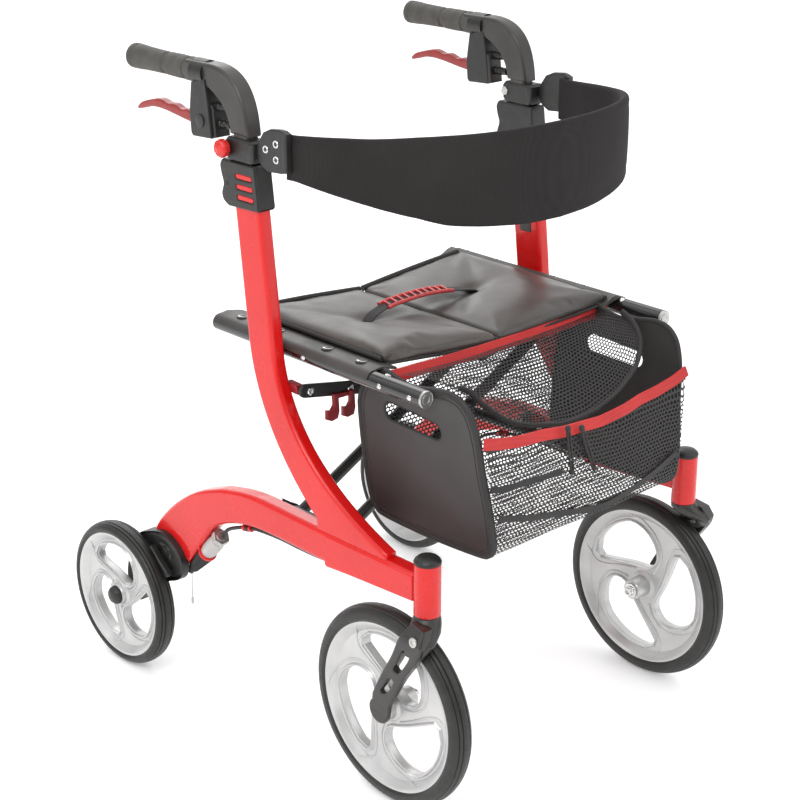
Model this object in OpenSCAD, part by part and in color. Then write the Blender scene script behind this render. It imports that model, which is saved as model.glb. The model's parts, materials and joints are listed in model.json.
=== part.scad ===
// Side-folding rollator walker, four wheels, padded seat, storage bag and backrest band.
// Millimetres. X runs across the walker, Y from front to back, Z up, floor at Z = 0.
// Inside the modules Y is counted from the front axle and X is the left half.

/* [Wheels] */
// Diameter of the front caster wheels
front_wheel_d = 254; // [240:1:260]
// Diameter of the rear wheels
rear_wheel_d = 203.2; // [195:1:208]
// Width of all four tyres
tyre_w = 30; // [26:1:32]
// Distance between the front and rear axles
wheelbase = 502.8; // [495:1:510]
// Centre plane of the front wheels, from the middle of the walker
front_track = 234.4; // [234:0.1:236]
// Centre plane of the rear wheels, from the middle of the walker
rear_track = 267.9; // [267:0.1:270]
// How far the caster wheel trails behind its swivel axis
caster_trail = 56; // [54:1:58]

/* [Side frames] */
// Middle plane of each side frame
frame_x = 233; // [232.8:0.1:233.2]
// Thickness of the oval frame tubes across the walker
tube_w = 24; // [24:0.1:24.6]
// Wall thickness of the head tube
tube_wall = 2.5; // [2:0.5:3]
// Diameter of the head tube over the caster
head_tube_d = 32; // [30:1:34]
// Lean of the handle posts, rearwards from vertical, in degrees
post_lean = 6.6; // [6:0.2:7]

/* [Fold] */
// Distance of the seat rails and lower pivots from the middle plane
rail_x = 208.4; // [208:0.1:209]
// Height of the seat rail axes
rail_z = 518; // [510:1:522]
// Height of the lower brace pivots
lower_pivot_z = 300; // [296:1:304]
// Diameter of the seat rails
rail_d = 21; // [20:0.5:21]
// Diameter of the cross brace tubes
brace_d = 15; // [13:0.5:15]

/* [Handles] */
// Height of the grip axis at the lowest setting
grip_z = 839; // [835:1:842]
// Diameter of the hand grips
grip_d = 27; // [25:1:30]
// How far the handles pull up
handle_travel = 120; // [100:5:120]

/* [Seat] */
// Depth of the seat from front to back
seat_depth = 254; // [240:2:256]
// Thickness of the padded seat halves
seat_t = 15; // [12:1:16]

/* [Hidden] */
$fn = 64;

right = -1;
left = 1;
red = "firebrick";
front_axle_y = -238.7;       // puts the origin under the middle of the walker
front_r = front_wheel_d / 2;
rear_r = rear_wheel_d / 2;
fit = 0.05;                  // radial clearance of a running fit
gap = 0.4;                   // clearance between parts that pass each other
frame_in = frame_x - tube_w / 2;
frame_out = frame_x + tube_w / 2;

// Lower beam: a straight oval tube that bends down to the rear hub
beam_top = 320;
beam_bottom = 279;
beam_front = -44;
sleeve_end = 108;            // the front of the beam is deepened up to here
beam_cut_top = [458, 207];
beam_cut_bottom = [388, 182];

// Post: the straight top of the upright, and the handle tube that slides in it
post_top = 740;
post_base = 538;
post_y = 239;                // middle of the post at its top
post_depth = 54;
handle_w = 19.6;
handle_depth = 28;
handle_y = 252;              // middle of the handle tube at the clamp's top
handle_gap = 0.2;            // sliding clearance of the handle tube, each side
arch_w = 23;                 // the handle widens above the clamp
clamp_top = 773;

// Caster
head_bottom = 268.8;
head_top = 333.9;
head_x = 232.3;

// Brace: two crossed pairs of tubes
pair_y = 160;                // middle of the brace along the walker
outer_pair = 40.5;
inner_pair = 23;
brace_angle = atan2((rail_z - lower_pivot_z) / 2, rail_x);
cross_z = (rail_z + lower_pivot_z) / 2;
pivot_tube_d = 20;
pivot_pin_d = 10;

// Stabilizer link, from the upright to the upper half of the opposite brace
link_start = [217, 476.8];
link_end = [77, 449.3];
link_y = 165;

// Bag
panel_x = 180;
panel_t = 5;

// Backrest band
plate_y = 165;
band_t = 8;

// Rear brake
shoe_angle = 48;             // where the shoe meets the tyre, from straight forward towards up
shoe_gap = 3.0;                // between the pad and the tyre with the brake off
shoe_pivot = [412, 160];

function lean(z) = (z - post_top) * tan(post_lean);

// Points of a cubic curve
function curve(a, b, c, d, steps = 12) =
    [for (i = [0:steps]) let (t = i / steps, u = 1 - t)
        u*u*u*a + 3*u*u*t*b + 3*u*t*t*c + t*t*t*d];

// Points of an arc about a centre
function arc(centre, r, from, to, steps = 10) =
    [for (i = [0:steps]) let (a = from + (to - from) * i / steps) centre + r * [cos(a), sin(a)]];

// Places one side of the walker
module side(which) {
    translate([0, front_axle_y, 0])
        if (which == right) mirror([1, 0, 0]) children();
        else children();
}

// A side view in (Y, Z), made thick from x0 to x1
module side_plate(points, x0, x1)
    translate([x0, 0, 0]) rotate([90, 0, 90]) linear_extrude(x1 - x0) polygon(points);

// A front view in (X, Z), made thick from y0 to y1
module front_plate(points, y0, y1)
    translate([0, y1, 0]) rotate([90, 0, 0]) linear_extrude(y1 - y0) polygon(points);

module x_rod(x0, x1, y, z, d) translate([x0, y, z]) rotate([0, 90, 0]) cylinder(d = d, h = x1 - x0);
module y_rod(y0, y1, x, z, d) translate([x, y0, z]) rotate([-90, 0, 0]) cylinder(d = d, h = y1 - y0);
module z_rod(z0, z1, x, y, d) translate([x, y, z0]) cylinder(d = d, h = z1 - z0);

// Something turned about the X axis through (y, z), with its own axis as Z
module on_x_axis(x, y, z) translate([x, y, z]) rotate([0, 90, 0]) children();

// A body of revolution about the post direction, or anything else that leans with it
module leaning(y, z) translate([frame_x, y, z]) rotate([-post_lean, 0, 0]) children();

module rounded_rect(x, y, r)
    union() {
        square([x - 2*r, y], center = true);
        square([x, y - 2*r], center = true);
        for (i = [-1, 1], j = [-1, 1]) translate([i * (x/2 - r), j * (y/2 - r)]) circle(r);
    }

// ---------------------------------------------------------------- side frame
beam_outline = concat(
    [[beam_front, 322], [0, beam_top], [200, beam_top]],
    curve([200, beam_top], [330, beam_top], [400, 280], beam_cut_top),
    [beam_cut_bottom],
    curve(beam_cut_bottom, [350, 238], [310, beam_bottom - 6], [231, beam_bottom]),
    [[sleeve_end + 12, beam_bottom - 1], [sleeve_end, 275], [beam_front, 284]]);

module lower_beam(which) color(red) side(which)
    difference() {
        side_plate(beam_outline, frame_in, frame_out);
        z_rod(head_bottom, head_top, head_x, -caster_trail, head_tube_d);
    }

post_half = post_depth / 2;
upright_front = concat([[post_y - post_half, post_top]],
    curve([post_y - post_half + lean(post_base), post_base], [174, 419], [126, 404], [18, 344], 16),
    [[8, beam_top]]);
upright_rear = concat([[120, beam_top]],
    curve([132, 337], [184, 376], [232, 456], [post_y + post_half + lean(post_base), post_base], 14),
    [[post_y + post_half, post_top]]);

// The hollow that a handle tube slides in, from z0 to z1
module handle_bore(z0, z1)
    leaning(handle_y, clamp_top) translate([0, 0, z0 - clamp_top]) linear_extrude(z1 - z0)
        rounded_rect(handle_w + 2 * handle_gap, handle_depth + 2 * handle_gap, 6);

// Ear on the inner face, just behind the stabilizer link
module upright_tube(which) color(red) side(which) {
    difference() {
        side_plate(concat(upright_rear, upright_front), frame_in, frame_out);
        handle_bore(post_tube_bottom - 15, clamp_top);
    }
    difference() {
        front_plate(concat([[frame_in, 462], [frame_in, 490]], arc(link_start, 8, 100, 260, 8)),
            link_y + 7, link_y + 12);
        y_rod(link_y, link_y + 13, link_start[0], link_start[1], 6);
    }
}

module head_tube(which) color(red) side(which)
    difference() {
        z_rod(head_bottom, head_top, head_x, -caster_trail, head_tube_d);
        z_rod(head_bottom - 1, head_top + 1, head_x, -caster_trail, head_tube_d - 2 * tube_wall);
    }

module head_cap(which) color("dimgray") side(which)
    translate([head_x, -caster_trail, head_top]) {
        rotate_extrude() polygon([[0, 0], [16.5, 0], [16.5, 3], [14, 6.5], [9, 8.6], [0, 9.5]]);
        translate([0, 0, -12]) cylinder(d = head_tube_d - 2 * tube_wall, h = 12);
    }

// Slotted sleeve over the top of the upright
collar_base = 691;
collar_top = 745;
post_section = [[post_y - post_half + lean(680), 680], [post_y + post_half + lean(680), 680],
    [post_y + post_half, post_top], [post_y - post_half, post_top]];
module height_collar(which) color("dimgray") side(which)
    difference() {
        side_plate([[203, collar_base], [266, collar_base - 2], [277, collar_base + 6], [280, 712], [277, 718],
            [280, 724], [281, 738], [277, collar_top], [211, collar_top], [209, collar_top - 4]],
            frame_in - 0.6, frame_out + 2);
        side_plate(post_section, frame_in, frame_out);
        handle_bore(600, clamp_top);
        // three slots that show the post
        for (k = [0:2]) side_plate([[225 + k, 704 + 12.5*k], [257 + k, 704 + 12.5*k], [257 + k, 710 + 12.5*k],
            [225 + k, 710 + 12.5*k]], frame_out - 1, frame_out + 3);
    }

knob_y = 271;
knob_z = 760;
knob_bolt_d = 8;
module post_clamp(which) color("dimgray") side(which)
    difference() {
        side_plate([[222, collar_top], [274, collar_top], [280, 751], [280, 768], [275, clamp_top],
            [220, clamp_top], [217, 768], [218, 749]], frame_in - 0.6, frame_out + 2);
        handle_bore(700, clamp_top + 10);
        // split at the rear, closed by the knob's bolt
        side_plate([[264, collar_top - 1], [290, collar_top - 1], [290, clamp_top + 1], [264, clamp_top + 1]],
            frame_x - 1.5, frame_x + 1.5);
        x_rod(frame_in - 2, frame_out + 4, knob_y, knob_z, knob_bolt_d + 2 * fit);
    }

plate_outline = [[217.5, 758], [214, 748], [203, 741], [171, 744], [165, 750], [164, 788], [169, 795],
    [196, 793], [208, 787], [217, 772], [217, 768]];
plate_screws = [[202.7, 768.1], [182, 777.1], [182, 758.7]];
module backrest_plate(which) {
    color("dimgray") side(which)
        difference() {
            side_plate(plate_outline, frame_in + 4, frame_out - 4);
            for (s = plate_screws) x_rod(frame_in, frame_out, s[0], s[1], 5);
        }
    color("silver") side(which)
        for (s = plate_screws) {
            x_rod(frame_in + 5, frame_out - 4, s[0], s[1], 5);
            x_rod(frame_out - 4, frame_out - 1, s[0], s[1], 10);
        }
}

// Welded bracket on the inside of the beam that carries a lower brace pivot
bracket_in = rail_x - 12;
module cross_bracket(which) color("dimgray") side(which) {
    for (y = [pair_y - outer_pair - 15, pair_y + outer_pair + 9])
        side_plate_ear(y, y + 6);
    y_rod(pair_y - outer_pair - 20, pair_y + outer_pair + 20, rail_x, lower_pivot_z, pivot_pin_d);
    for (y = [pair_y - outer_pair - 19, pair_y + outer_pair + 15])
        y_rod(y, y + 4, rail_x, lower_pivot_z, 17);
}

module side_plate_ear(y0, y1)
    front_plate(concat([[frame_in, 284], [frame_in, 322]],
        arc([rail_x, lower_pivot_z], 12, 100, 260, 8)), y0, y1);

// Black housing that closes the rear end of the beam and carries the rear axle
axle_d = 12;
housing_outline = concat(
    [beam_cut_bottom, beam_cut_top, [472, 206], [492, 193], [505, 176], [514, 140]],
    arc([wheelbase, rear_r], 23, 30, -110, 10),
    [[470, 104], [440, 128], [418, 143], [402, 160]]);
module rear_hub_housing(which) {
    color("dimgray") side(which) difference() {
        side_plate(housing_outline, frame_in - 1, frame_out + 5);
        x_rod(frame_x - 4, frame_out + 6, wheelbase, rear_r, axle_d);
        x_rod(frame_x, frame_out + 6, shoe_pivot[0], shoe_pivot[1], 6);
    }
    color("silver") side(which) {
        x_rod(frame_x - 4, rear_track + tyre_w/2 + 3.5, wheelbase, rear_r, axle_d);
        on_x_axis(frame_out + 5, wheelbase, rear_r) difference() {
            cylinder(d = 18, h = rear_track - rear_hub_half - frame_out - 5.5);
            translate([0, 0, -1]) cylinder(d = axle_d, h = 20);
        }
    }
}

// Red tab under the beam's rear end, with the cable adjuster, bellows and bare wire end
anchor_from = [321, 240];
anchor_to = [404, 151];
anchor_dir = (anchor_to - anchor_from) / norm(anchor_to - anchor_from);
tab_at = 60;
module along_cable(s)
    translate([frame_x, anchor_from[0] + anchor_dir[0]*s, anchor_from[1] + anchor_dir[1]*s])
        rotate([-90 + atan2(anchor_dir[1], anchor_dir[0]), 0, 0]) children();
module cable_anchor(which) {
    color(red) side(which) along_cable(tab_at) difference() {
        union() {
            cylinder(d = 21, h = 3);
            translate([-10.5, 0, 0]) cube([21, 9.6, 3]);
        }
        translate([0, 0, -1]) cylinder(d = 7, h = 5);
    }
    color("gray") side(which) {
        along_cable(8) difference() {
            cylinder(d = 20, h = 9);
            translate([0, 0, -1]) cylinder(d = 5.2, h = 6);
        }
        along_cable(17) cylinder(d = 18.5, h = tab_at - 17);
        along_cable(tab_at) cylinder(d = 7, h = 3);
    }
    color("dimgray") side(which) along_cable(tab_at + 3) rotate_extrude() polygon(concat(
        [[0, 0]], [for (i = [0:11]) [9.5 - i*0.4 - (i % 2) * 1.5, i * 4]], [[0, 44]]));
    color("silver") side(which) {
        z_rod(121, 146, frame_x, 401, 1.6);
        z_rod(112, 121, frame_x, 401, 4);
    }
}

// A round cable through a list of (x, y, z) points
function unit(v) = v / norm(v);
function tangent(p, i) = unit(p[min(i + 1, len(p) - 1)] - p[max(i - 1, 0)]);
module swept_tube(path, d, sides = 8) {
    rings = [for (i = [0:len(path) - 1])
        let (t = tangent(path, i), a = unit(cross(t, [1, 0, 0.01])), b = cross(t, a))
            [for (k = [0:sides - 1]) path[i] + d/2 * (cos(k*360/sides) * a + sin(k*360/sides) * b)]];
    points = [for (ring = rings) each ring];
    n = len(path);
    polyhedron(points, concat(
        [[for (k = [0:sides - 1]) k]],
        [for (i = [0:n - 2], k = [0:sides - 1]) let (m = (k + 1) % sides)
            [i*sides + k, (i + 1)*sides + k, (i + 1)*sides + m, i*sides + m]],
        [[for (k = [sides - 1:-1:0]) (n - 1)*sides + k]]));
}
cable_d = 5;
cable_path = concat(
    [[frame_x, 122, 275]], [for (y = [150, 180, 208]) [frame_x, y, 273.5]],
    [[frame_x, 252, 270], [frame_x, 278, 264], [frame_x, 299, 256], [frame_x, 312, 249], [frame_x, 321, 240]]);
module brake_cable(which) color("black") side(which)
    swept_tube(cable_path, cable_d);

// Brake arm with the pad that presses on the rear tyre
shoe_r = rear_r + shoe_gap;
shoe_in = frame_out + 5.5;
shoe_out = rear_track + 2;
function on_tyre(a, r) = [wheelbase - r * cos(a), rear_r + r * sin(a)];
module brake_shoe(which) color("gray") side(which) {
    x_rod(frame_x + 1, shoe_out, shoe_pivot[0], shoe_pivot[1], 6 - 2*fit);
    difference() {
        side_plate(concat(arc(shoe_pivot, 5, 130, 260, 6), [for (a = [36:3:58]) on_tyre(a, shoe_r)],
            [for (a = [58:-3:44]) on_tyre(a, shoe_r + 7)]), shoe_in, shoe_out);
        x_rod(shoe_in - 1, shoe_out + 1, shoe_pivot[0], shoe_pivot[1], 6 - 2*fit);
    }
}

// ---------------------------------------------------------------- caster
fork_in = front_track + tyre_w/2 + 2.5;
fork_out = fork_in + 14;
fork_top = 276;
crown_z = 252;
stem_d = 14;
fork_outline = concat(
    [[-96, fork_top], [-60, fork_top], [-50, 260], [-42, 242], [-30, 217], [-13, 189], [0, 165], [11, 146]],
    arc([0, front_r], 17, 20, -160, 12),
    [[-21, 141], [-31, 161], [-46, 187], [-64, 212], [-80, 235], [-82, 249], [-87, 257], [-97, 270]]);
window_top = [[-51, 231], [-58.5, 229], [-60, 223], [-53, 212.5], [-43, 199], [-37, 195], [-30, 198],
    [-39, 210], [-45.5, 223]];
window_low = [[-22.5, 182.5], [-28.5, 180], [-28.5, 176], [-19, 161.5], [-10, 155.5], [-5.5, 157.5],
    [-13.5, 169]];
module caster_fork(which) {
    color("dimgray") side(which) {
        difference() {
            side_plate(fork_outline, fork_in, fork_out);
            side_plate(window_top, fork_in - 1, fork_out + 1);
            side_plate(window_low, fork_in - 1, fork_out + 1);
            x_rod(fork_in - 1, fork_out + 1, 0, front_r, axle_d);
        }
        // crown under the head tube
        difference() {
            union() {
                z_rod(crown_z, crown_z + 10, head_x, -caster_trail - 2, 54);
                side_plate([[-84, crown_z + 10], [-42, crown_z + 10], [-40, crown_z], [-83, crown_z]],
                    head_x, fork_in);
            }
            z_rod(crown_z - 1, crown_z + 11, head_x, -caster_trail, stem_d);
        }
    }
    color("silver") side(which) {
        z_rod(crown_z, 318, head_x, -caster_trail, stem_d);
        z_rod(crown_z + 10, head_bottom - gap, head_x, -caster_trail, 30);
        x_rod(front_track - front_hub_in - 1, fork_out, 0, front_r, axle_d);
        x_rod(front_track - front_hub_in - 8, front_track - front_hub_in - 1, 0, front_r, 18);
    }
}

// ---------------------------------------------------------------- wheels
module tyre(r, seat, x) {
    depth = r - seat - 4;
    on_x_axis(x, 0, r)
        rotate_extrude() polygon(concat(
            [for (a = [-90:15:90]) [r - depth + depth * cos(a), tyre_w/2 * sin(a)]],
            [[seat, tyre_w/2 - 3], [seat, 3 - tyre_w/2]]));
}

// One window between two swirled spokes, drawn for a rim whose windows reach window_r
window_r = 88.5;
window_outline = concat(
    [[76.3, 16.2]], arc([0, 0], window_r, 19, 72, 8),
    curve([24.3, 84.6], [0, 86], [-22, 64], [-20.3, 45.7], 8),
    curve([-20.3, 45.7], [-18, 33], [-9, 27], [2.3, 26.9], 5),
    curve([2.3, 26.9], [28, 27], [52, 19], [76.3, 16.2], 6));

front_hub_in = 30;
front_hub_out = 16;
rear_hub_half = 13;
module rim(r, seat, x, hub_in, hub_out, turn)
    on_x_axis(x, 0, r) difference() {
        rotate_extrude() polygon([[axle_d/2 + fit, -hub_in], [13.5, -hub_in], [16, -4], [seat - 14, -4],
            [seat - 8, -11], [seat, -12], [seat, 12], [seat - 8, 11], [seat - 14, 4], [17, 4],
            [15, hub_out], [axle_d/2 + fit, hub_out]]);
        for (k = [0:2]) rotate([0, 0, 120*k + 90 + turn]) translate([0, 0, -6])
            linear_extrude(12) polygon(window_outline * (seat - 19) / window_r);
    }

front_seat = front_r - 19;
rear_seat = rear_r - 13;
module front_tyre(which) color("black") side(which) tyre(front_r, front_seat, front_track);
module front_rim(which) color("silver") side(which)
    rim(front_r, front_seat, front_track, front_hub_in, front_hub_out, which == right ? 43 : 0);
module rear_tyre(which) color("black") side(which)
    translate([0, wheelbase, 0]) tyre(rear_r, rear_seat, rear_track);
module rear_rim(which) {
    color("silver") side(which) translate([0, wheelbase, 0])
        rim(rear_r, rear_seat, rear_track, rear_hub_half, rear_hub_half, 40);
    color("dimgray") side(which) on_x_axis(rear_track + rear_hub_half, wheelbase, rear_r)
        difference() {
            rotate_extrude() polygon([[0, 0], [15, 0], [15, 5], [12, 8.5], [6, 10.5], [0, 11]]);
            translate([0, 0, -1]) cylinder(d = axle_d + 1, h = 8);
        }
}

// ---------------------------------------------------------------- handle
arch_z = 776;
post_tube_bottom = clamp_top - handle_travel - 78;
arch_outer = curve([235, arch_z], [239, 830], [264, grip_z + 13], [306, grip_z + 13], 10);
arch_inner = curve([317, grip_z - 13.5], [292, grip_z - 23], [271, 803], [269, arch_z], 8);
grip_start = 340;
grip_core = 18;
module handle_tube(which) color("dimgray") side(which) {
    // straight part, inside the post
    leaning(handle_y, clamp_top)
        translate([0, 0, post_tube_bottom - clamp_top])
            linear_extrude(arch_z + 6 - post_tube_bottom) rounded_rect(handle_w, handle_depth, 6);
    // bend towards the user
    side_plate(concat(arch_outer, [[grip_start, grip_z + 12.5], [grip_start, grip_z - 12.5]], arch_inner),
        frame_x - arch_w/2, frame_x + arch_w/2);
    // core of the grip
    y_rod(grip_start - 5, 463, frame_x, grip_z, grip_core);
}

module hand_grip(which) color("dimgray") side(which)
    translate([frame_x, grip_start, grip_z]) rotate([-90, 0, 0])
        difference() {
            rotate_extrude() polygon(concat(
                [[0, 0], [grip_d/2, 0], [grip_d/2, 14], [grip_d/2 - 1, 15], [grip_d/2, 16], [grip_d/2 - 0.5, 50],
                [grip_d/2 - 1.5, 51], [grip_d/2 - 0.5, 52], [grip_d/2 - 0.5, 90], [grip_d/2 + 1.5, 114]],
                arc([6, 122], grip_d/2 - 4.5, 0, 90, 6), [[0, 122 + grip_d/2 - 4.5]]));
            translate([0, 0, -1]) cylinder(d = grip_core, h = 124);
        }

lever_pivot = [322, 783];
lever_pin_d = 5;
body_half = 13;
module brake_body(which) color("dimgray") side(which)
    difference() {
        side_plate([[338, grip_z - 13.6], [340, 800], [339, 781], [338, 762], [301, 764], [307, 808],
            [316, grip_z - 13.8]], frame_x - body_half, frame_x + body_half);
        // slot that the lever swings in
        side_plate([[312, 770], [312, 806], [342, 806], [342, 766]], frame_x - 7.5, frame_x + 7.5);
        x_rod(frame_x - 14, frame_x + 14, lever_pivot[0], lever_pivot[1], lever_pin_d);
    }

module brake_lever(which) {
    color("indianred") side(which)
        difference() {
            side_plate(concat(
                arc(lever_pivot, 7, 260, 70, 8),
                curve([332, 790], [365, 782], [395, 799], [428, 791], 10), [[456, 781], [459, 777], [456, 773]],
                curve([428, 783], [395, 789], [365, 772], [334, 775], 10)),
                frame_x - 7, frame_x + 7);
            x_rod(frame_x - 8, frame_x + 8, lever_pivot[0], lever_pivot[1], lever_pin_d - 2*fit);
        }
    color("silver") side(which)
        x_rod(frame_x - body_half, frame_x + body_half, lever_pivot[0], lever_pivot[1], lever_pin_d - 2*fit);
}

module clamp_knob(which) {
    color(red) side(which) on_x_axis(frame_out + 2 + gap, knob_y, knob_z)
        rotate_extrude() polygon([[0, 0], [7, 0], [10, 3], [10, 10], [8, 13], [0, 14]]);
    color("silver") side(which) x_rod(frame_in - 0.4, frame_out + 2 + gap, knob_y, knob_z, knob_bolt_d);
}

// ---------------------------------------------------------------- fold
module seat_rail(which) color("dimgray") side(which)
    difference() {
        union() {
            y_rod(-25, 347, rail_x, rail_z, rail_d);
            y_rod(-26.5, -25, rail_x, rail_z, rail_d - 1);
        }
        y_rod(-20, 348, rail_x, rail_z, rail_d - 4);
    }

// One crossed pair: pivots low on this side's beam and carries the rail of the other side
module cross_bars(which) color("dimgray") side(which) {
    spread = which == right ? outer_pair : inner_pair;
    difference() {
        union() {
            for (s = [-1, 1]) translate([rail_x, pair_y + s*spread, lower_pivot_z])
                rotate([0, brace_angle - 90, 0]) cylinder(d = brace_d, h = 2 * rail_x / cos(brace_angle));
            y_rod(pair_y - outer_pair - 8, pair_y + outer_pair + 8, rail_x, lower_pivot_z, pivot_tube_d);
        }
        y_rod(pair_y - 60, pair_y + 60, rail_x, lower_pivot_z, pivot_pin_d + 2*fit);
        y_rod(pair_y - 60, pair_y + 60, -rail_x, rail_z, rail_d);
        y_rod(pair_y - 60, pair_y + 60, 0, cross_z, 8 + 2*fit);
    }
}

module cross_bolt() color("silver") side(left) {
    y_rod(pair_y - outer_pair - 12, pair_y + outer_pair + 12, 0, cross_z, 8);
    for (y = [pair_y - outer_pair - 12, pair_y + outer_pair + 7.6 + gap])
        y_rod(y, y + 4, 0, cross_z, 16);
}

link_vector = link_end - link_start;
link_normal = [-link_vector[1], link_vector[0]] / norm(link_vector);
module stabilizer_link(which) color("dimgray") side(which) {
    difference() {
        front_plate([link_start - 8*link_normal + [5, 0], link_start + 8*link_normal + [5, 0],
            link_end + 8*link_normal - [9, 0], link_end - 8*link_normal - [9, 0]], link_y, link_y + 5);
        y_rod(link_y - 1, link_y + 6, link_start[0], link_start[1], 6 - 2*fit);
    }
    // its pivot pin
    y_rod(link_y - 3, link_y + 12, link_start[0], link_start[1], 6 - 2*fit);
}

module fold_hook() color(red) side(right) {
    // two J-shaped hooks on one strip, below the link
    for (flip = [0, 1]) translate([flip ? 2 * 157 : 0, 0, 0]) mirror([flip, 0, 0])
        front_plate([[159, 461], [166, 461], [166, 448], [172, 442], [178, 443], [178, 432], [171, 429],
            [160, 431], [158, 440]], link_y - 3, link_y + 9 - 9.2);
    front_plate([[146, 458], [168, 458], [168, 463], [146, 463]], link_y - 3, link_y - 0.2);
}

// ---------------------------------------------------------------- soft parts
seat_front = 58;
pad_in = 511;                 // bottom of the pads at the middle seam
pad_out = 526;                // bottom of the pads near the rails
pad_edge = 123;               // outer edge of the pads, clear of the band as they fold up
pad_flat = 45;                // width of the flat strip along the outer edge
module seat_pad(which) color("rosybrown") side(which)
    front_plate([[0.5, pad_in], [pad_edge, pad_out], [pad_edge, pad_out + seat_t - 2],
        [pad_edge - pad_flat, pad_out + seat_t - 2], [0.5, pad_in + seat_t]],
        seat_front, seat_front + seat_depth);

// Carry strap over the seam, lifted to fold the walker
strap_y = 197;
strap_w = 22;
module seat_strap() color("black") side(left)
    front_plate(concat(curve([-74, 542], [-37, 545], [37, 545], [74, 542], 12),
        curve([74, 539.4], [37, 542], [-37, 542], [-74, 539.4], 12)), strap_y - strap_w/2, strap_y + strap_w/2);

panel_outline = concat(
    [[60, 520], [104, 502], [110, 470], [109, 410], [106, 372]],
    curve([106, 372], [100, 340], [92, 330], [66, 329], 6),
    [[-70, 330]], curve([-70, 330], [-98, 331], [-106, 344], [-104, 380], 6),
    [[-98, 450], [-85, 458], [-60, 478], [-45, 500], [-35, 520], [-28, 528]]);
hand_slot = concat(arc([48, 477], 11, -70, 110, 8), arc([-25, 472], 9, 110, 290, 8));
module bag_panel(which) color("dimgray") side(which)
    difference() {
        side_plate(panel_outline, panel_x, panel_x + panel_t);
        side_plate(hand_slot, panel_x - 1, panel_x + panel_t + 1);
    }

// Front, bottom and back wall of the bag, in one sheet
wall = 2;
module bag_body() color("black") side(left)
    difference() {
        side_plate(concat([[104, 505], [104, 372]], curve([104, 372], [98, 342], [90, 333], [66, 332], 6),
            [[-70, 332]], curve([-70, 332], [-94, 333], [-102, 346], [-100, 380], 6), [[-96, 478]]),
            0.4 - panel_x, panel_x - 0.4);
        side_plate(concat([[104 - wall, 506], [104 - wall, 372]],
            curve([104 - wall, 372], [97, 345], [88, 335], [66, 332 + wall], 6),
            [[-70, 332 + wall]], curve([-70, 332 + wall], [-92, 335], [-100, 348], [-98, 380], 6),
            [[-96 + wall, 490]]), -panel_x - 1, panel_x + 1);
    }

// Half of the padded band: straight from the plate, then a broad arc to the middle
band_straight = [218, 62];
band_mid_y = -35;
function band_line(inset) = concat([[222 - inset, 157], [band_straight[0] - inset, band_straight[1]]],
    curve([band_straight[0] - inset, band_straight[1]], [208 - inset, 0], [120 - inset/2, band_mid_y + inset],
        [0.5, band_mid_y + inset], 12));
function reversed(list) = [for (i = [len(list) - 1:-1:0]) list[i]];
module backrest(which) color("dimgray") side(which)
    intersection() {
        translate([0, 0, 690]) linear_extrude(120)
            polygon(concat(band_line(0), reversed(band_line(band_t))));
        side_plate([[plate_y, 795], [60, 800], [-60, 804], [-60, 695], [-34, 697], [-30, 716], [-20, 732],
            [90, 736], [plate_y, 748]], 0, 240);
    }

lower_beam(right);  // lower_beam_r
upright_tube(right);  // upright_tube_r
head_tube(right);  // head_tube_r
head_cap(right);  // head_cap_r
height_collar(right);  // height_collar_r
post_clamp(right);  // post_clamp_r
backrest_plate(right);  // backrest_plate_r
cross_bracket(right);  // cross_bracket_r
rear_hub_housing(right);  // rear_hub_housing_r
cable_anchor(right);  // cable_anchor_r
brake_cable(right);  // brake_cable_r
lower_beam(left);  // lower_beam_l
upright_tube(left);  // upright_tube_l
head_tube(left);  // head_tube_l
head_cap(left);  // head_cap_l
height_collar(left);  // height_collar_l
post_clamp(left);  // post_clamp_l
backrest_plate(left);  // backrest_plate_l
cross_bracket(left);  // cross_bracket_l
rear_hub_housing(left);  // rear_hub_housing_l
cable_anchor(left);  // cable_anchor_l
brake_cable(left);  // brake_cable_l
brake_shoe(right);  // brake_shoe_r
brake_shoe(left);  // brake_shoe_l
caster_fork(right);  // caster_fork_r
caster_fork(left);  // caster_fork_l
front_tyre(right);  // front_tyre_r
front_tyre(left);  // front_tyre_l
front_rim(right);  // front_rim_r
front_rim(left);  // front_rim_l
rear_tyre(right);  // rear_tyre_r
rear_tyre(left);  // rear_tyre_l
rear_rim(right);  // rear_rim_r
rear_rim(left);  // rear_rim_l
handle_tube(right);  // handle_tube_r
handle_tube(left);  // handle_tube_l
hand_grip(right);  // hand_grip_r
hand_grip(left);  // hand_grip_l
brake_body(right);  // brake_body_r
brake_body(left);  // brake_body_l
brake_lever(right);  // brake_lever_r
brake_lever(left);  // brake_lever_l
clamp_knob(right);  // clamp_knob_r
clamp_knob(left);  // clamp_knob_l
seat_rail(right);  // seat_rail_r
seat_rail(left);  // seat_rail_l
cross_bars(right);  // cross_bars_r
cross_bars(left);  // cross_bars_l
cross_bolt();
stabilizer_link(right);  // stabilizer_link_r
stabilizer_link(left);  // stabilizer_link_l
fold_hook();
seat_pad(right);  // seat_pad_r
seat_pad(left);  // seat_pad_l
seat_strap();
bag_panel(right);  // bag_panel_r
bag_panel(left);  // bag_panel_l
bag_body();
backrest(right);  // backrest_r
backrest(left);  // backrest_l
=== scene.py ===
"""Looks of a side-folding rollator walker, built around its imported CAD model.

Blender works in metres. Sizes in the modelling functions are millimetres in "hub" coordinates: X across the
walker (the left half, mirrored for the right), Y rearwards from the front axle, Z up from the floor.
"""

import json
import math

import bmesh
import bpy
from mathutils import Matrix, Vector, noise
from mathutils.geometry import tessellate_polygon


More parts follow.
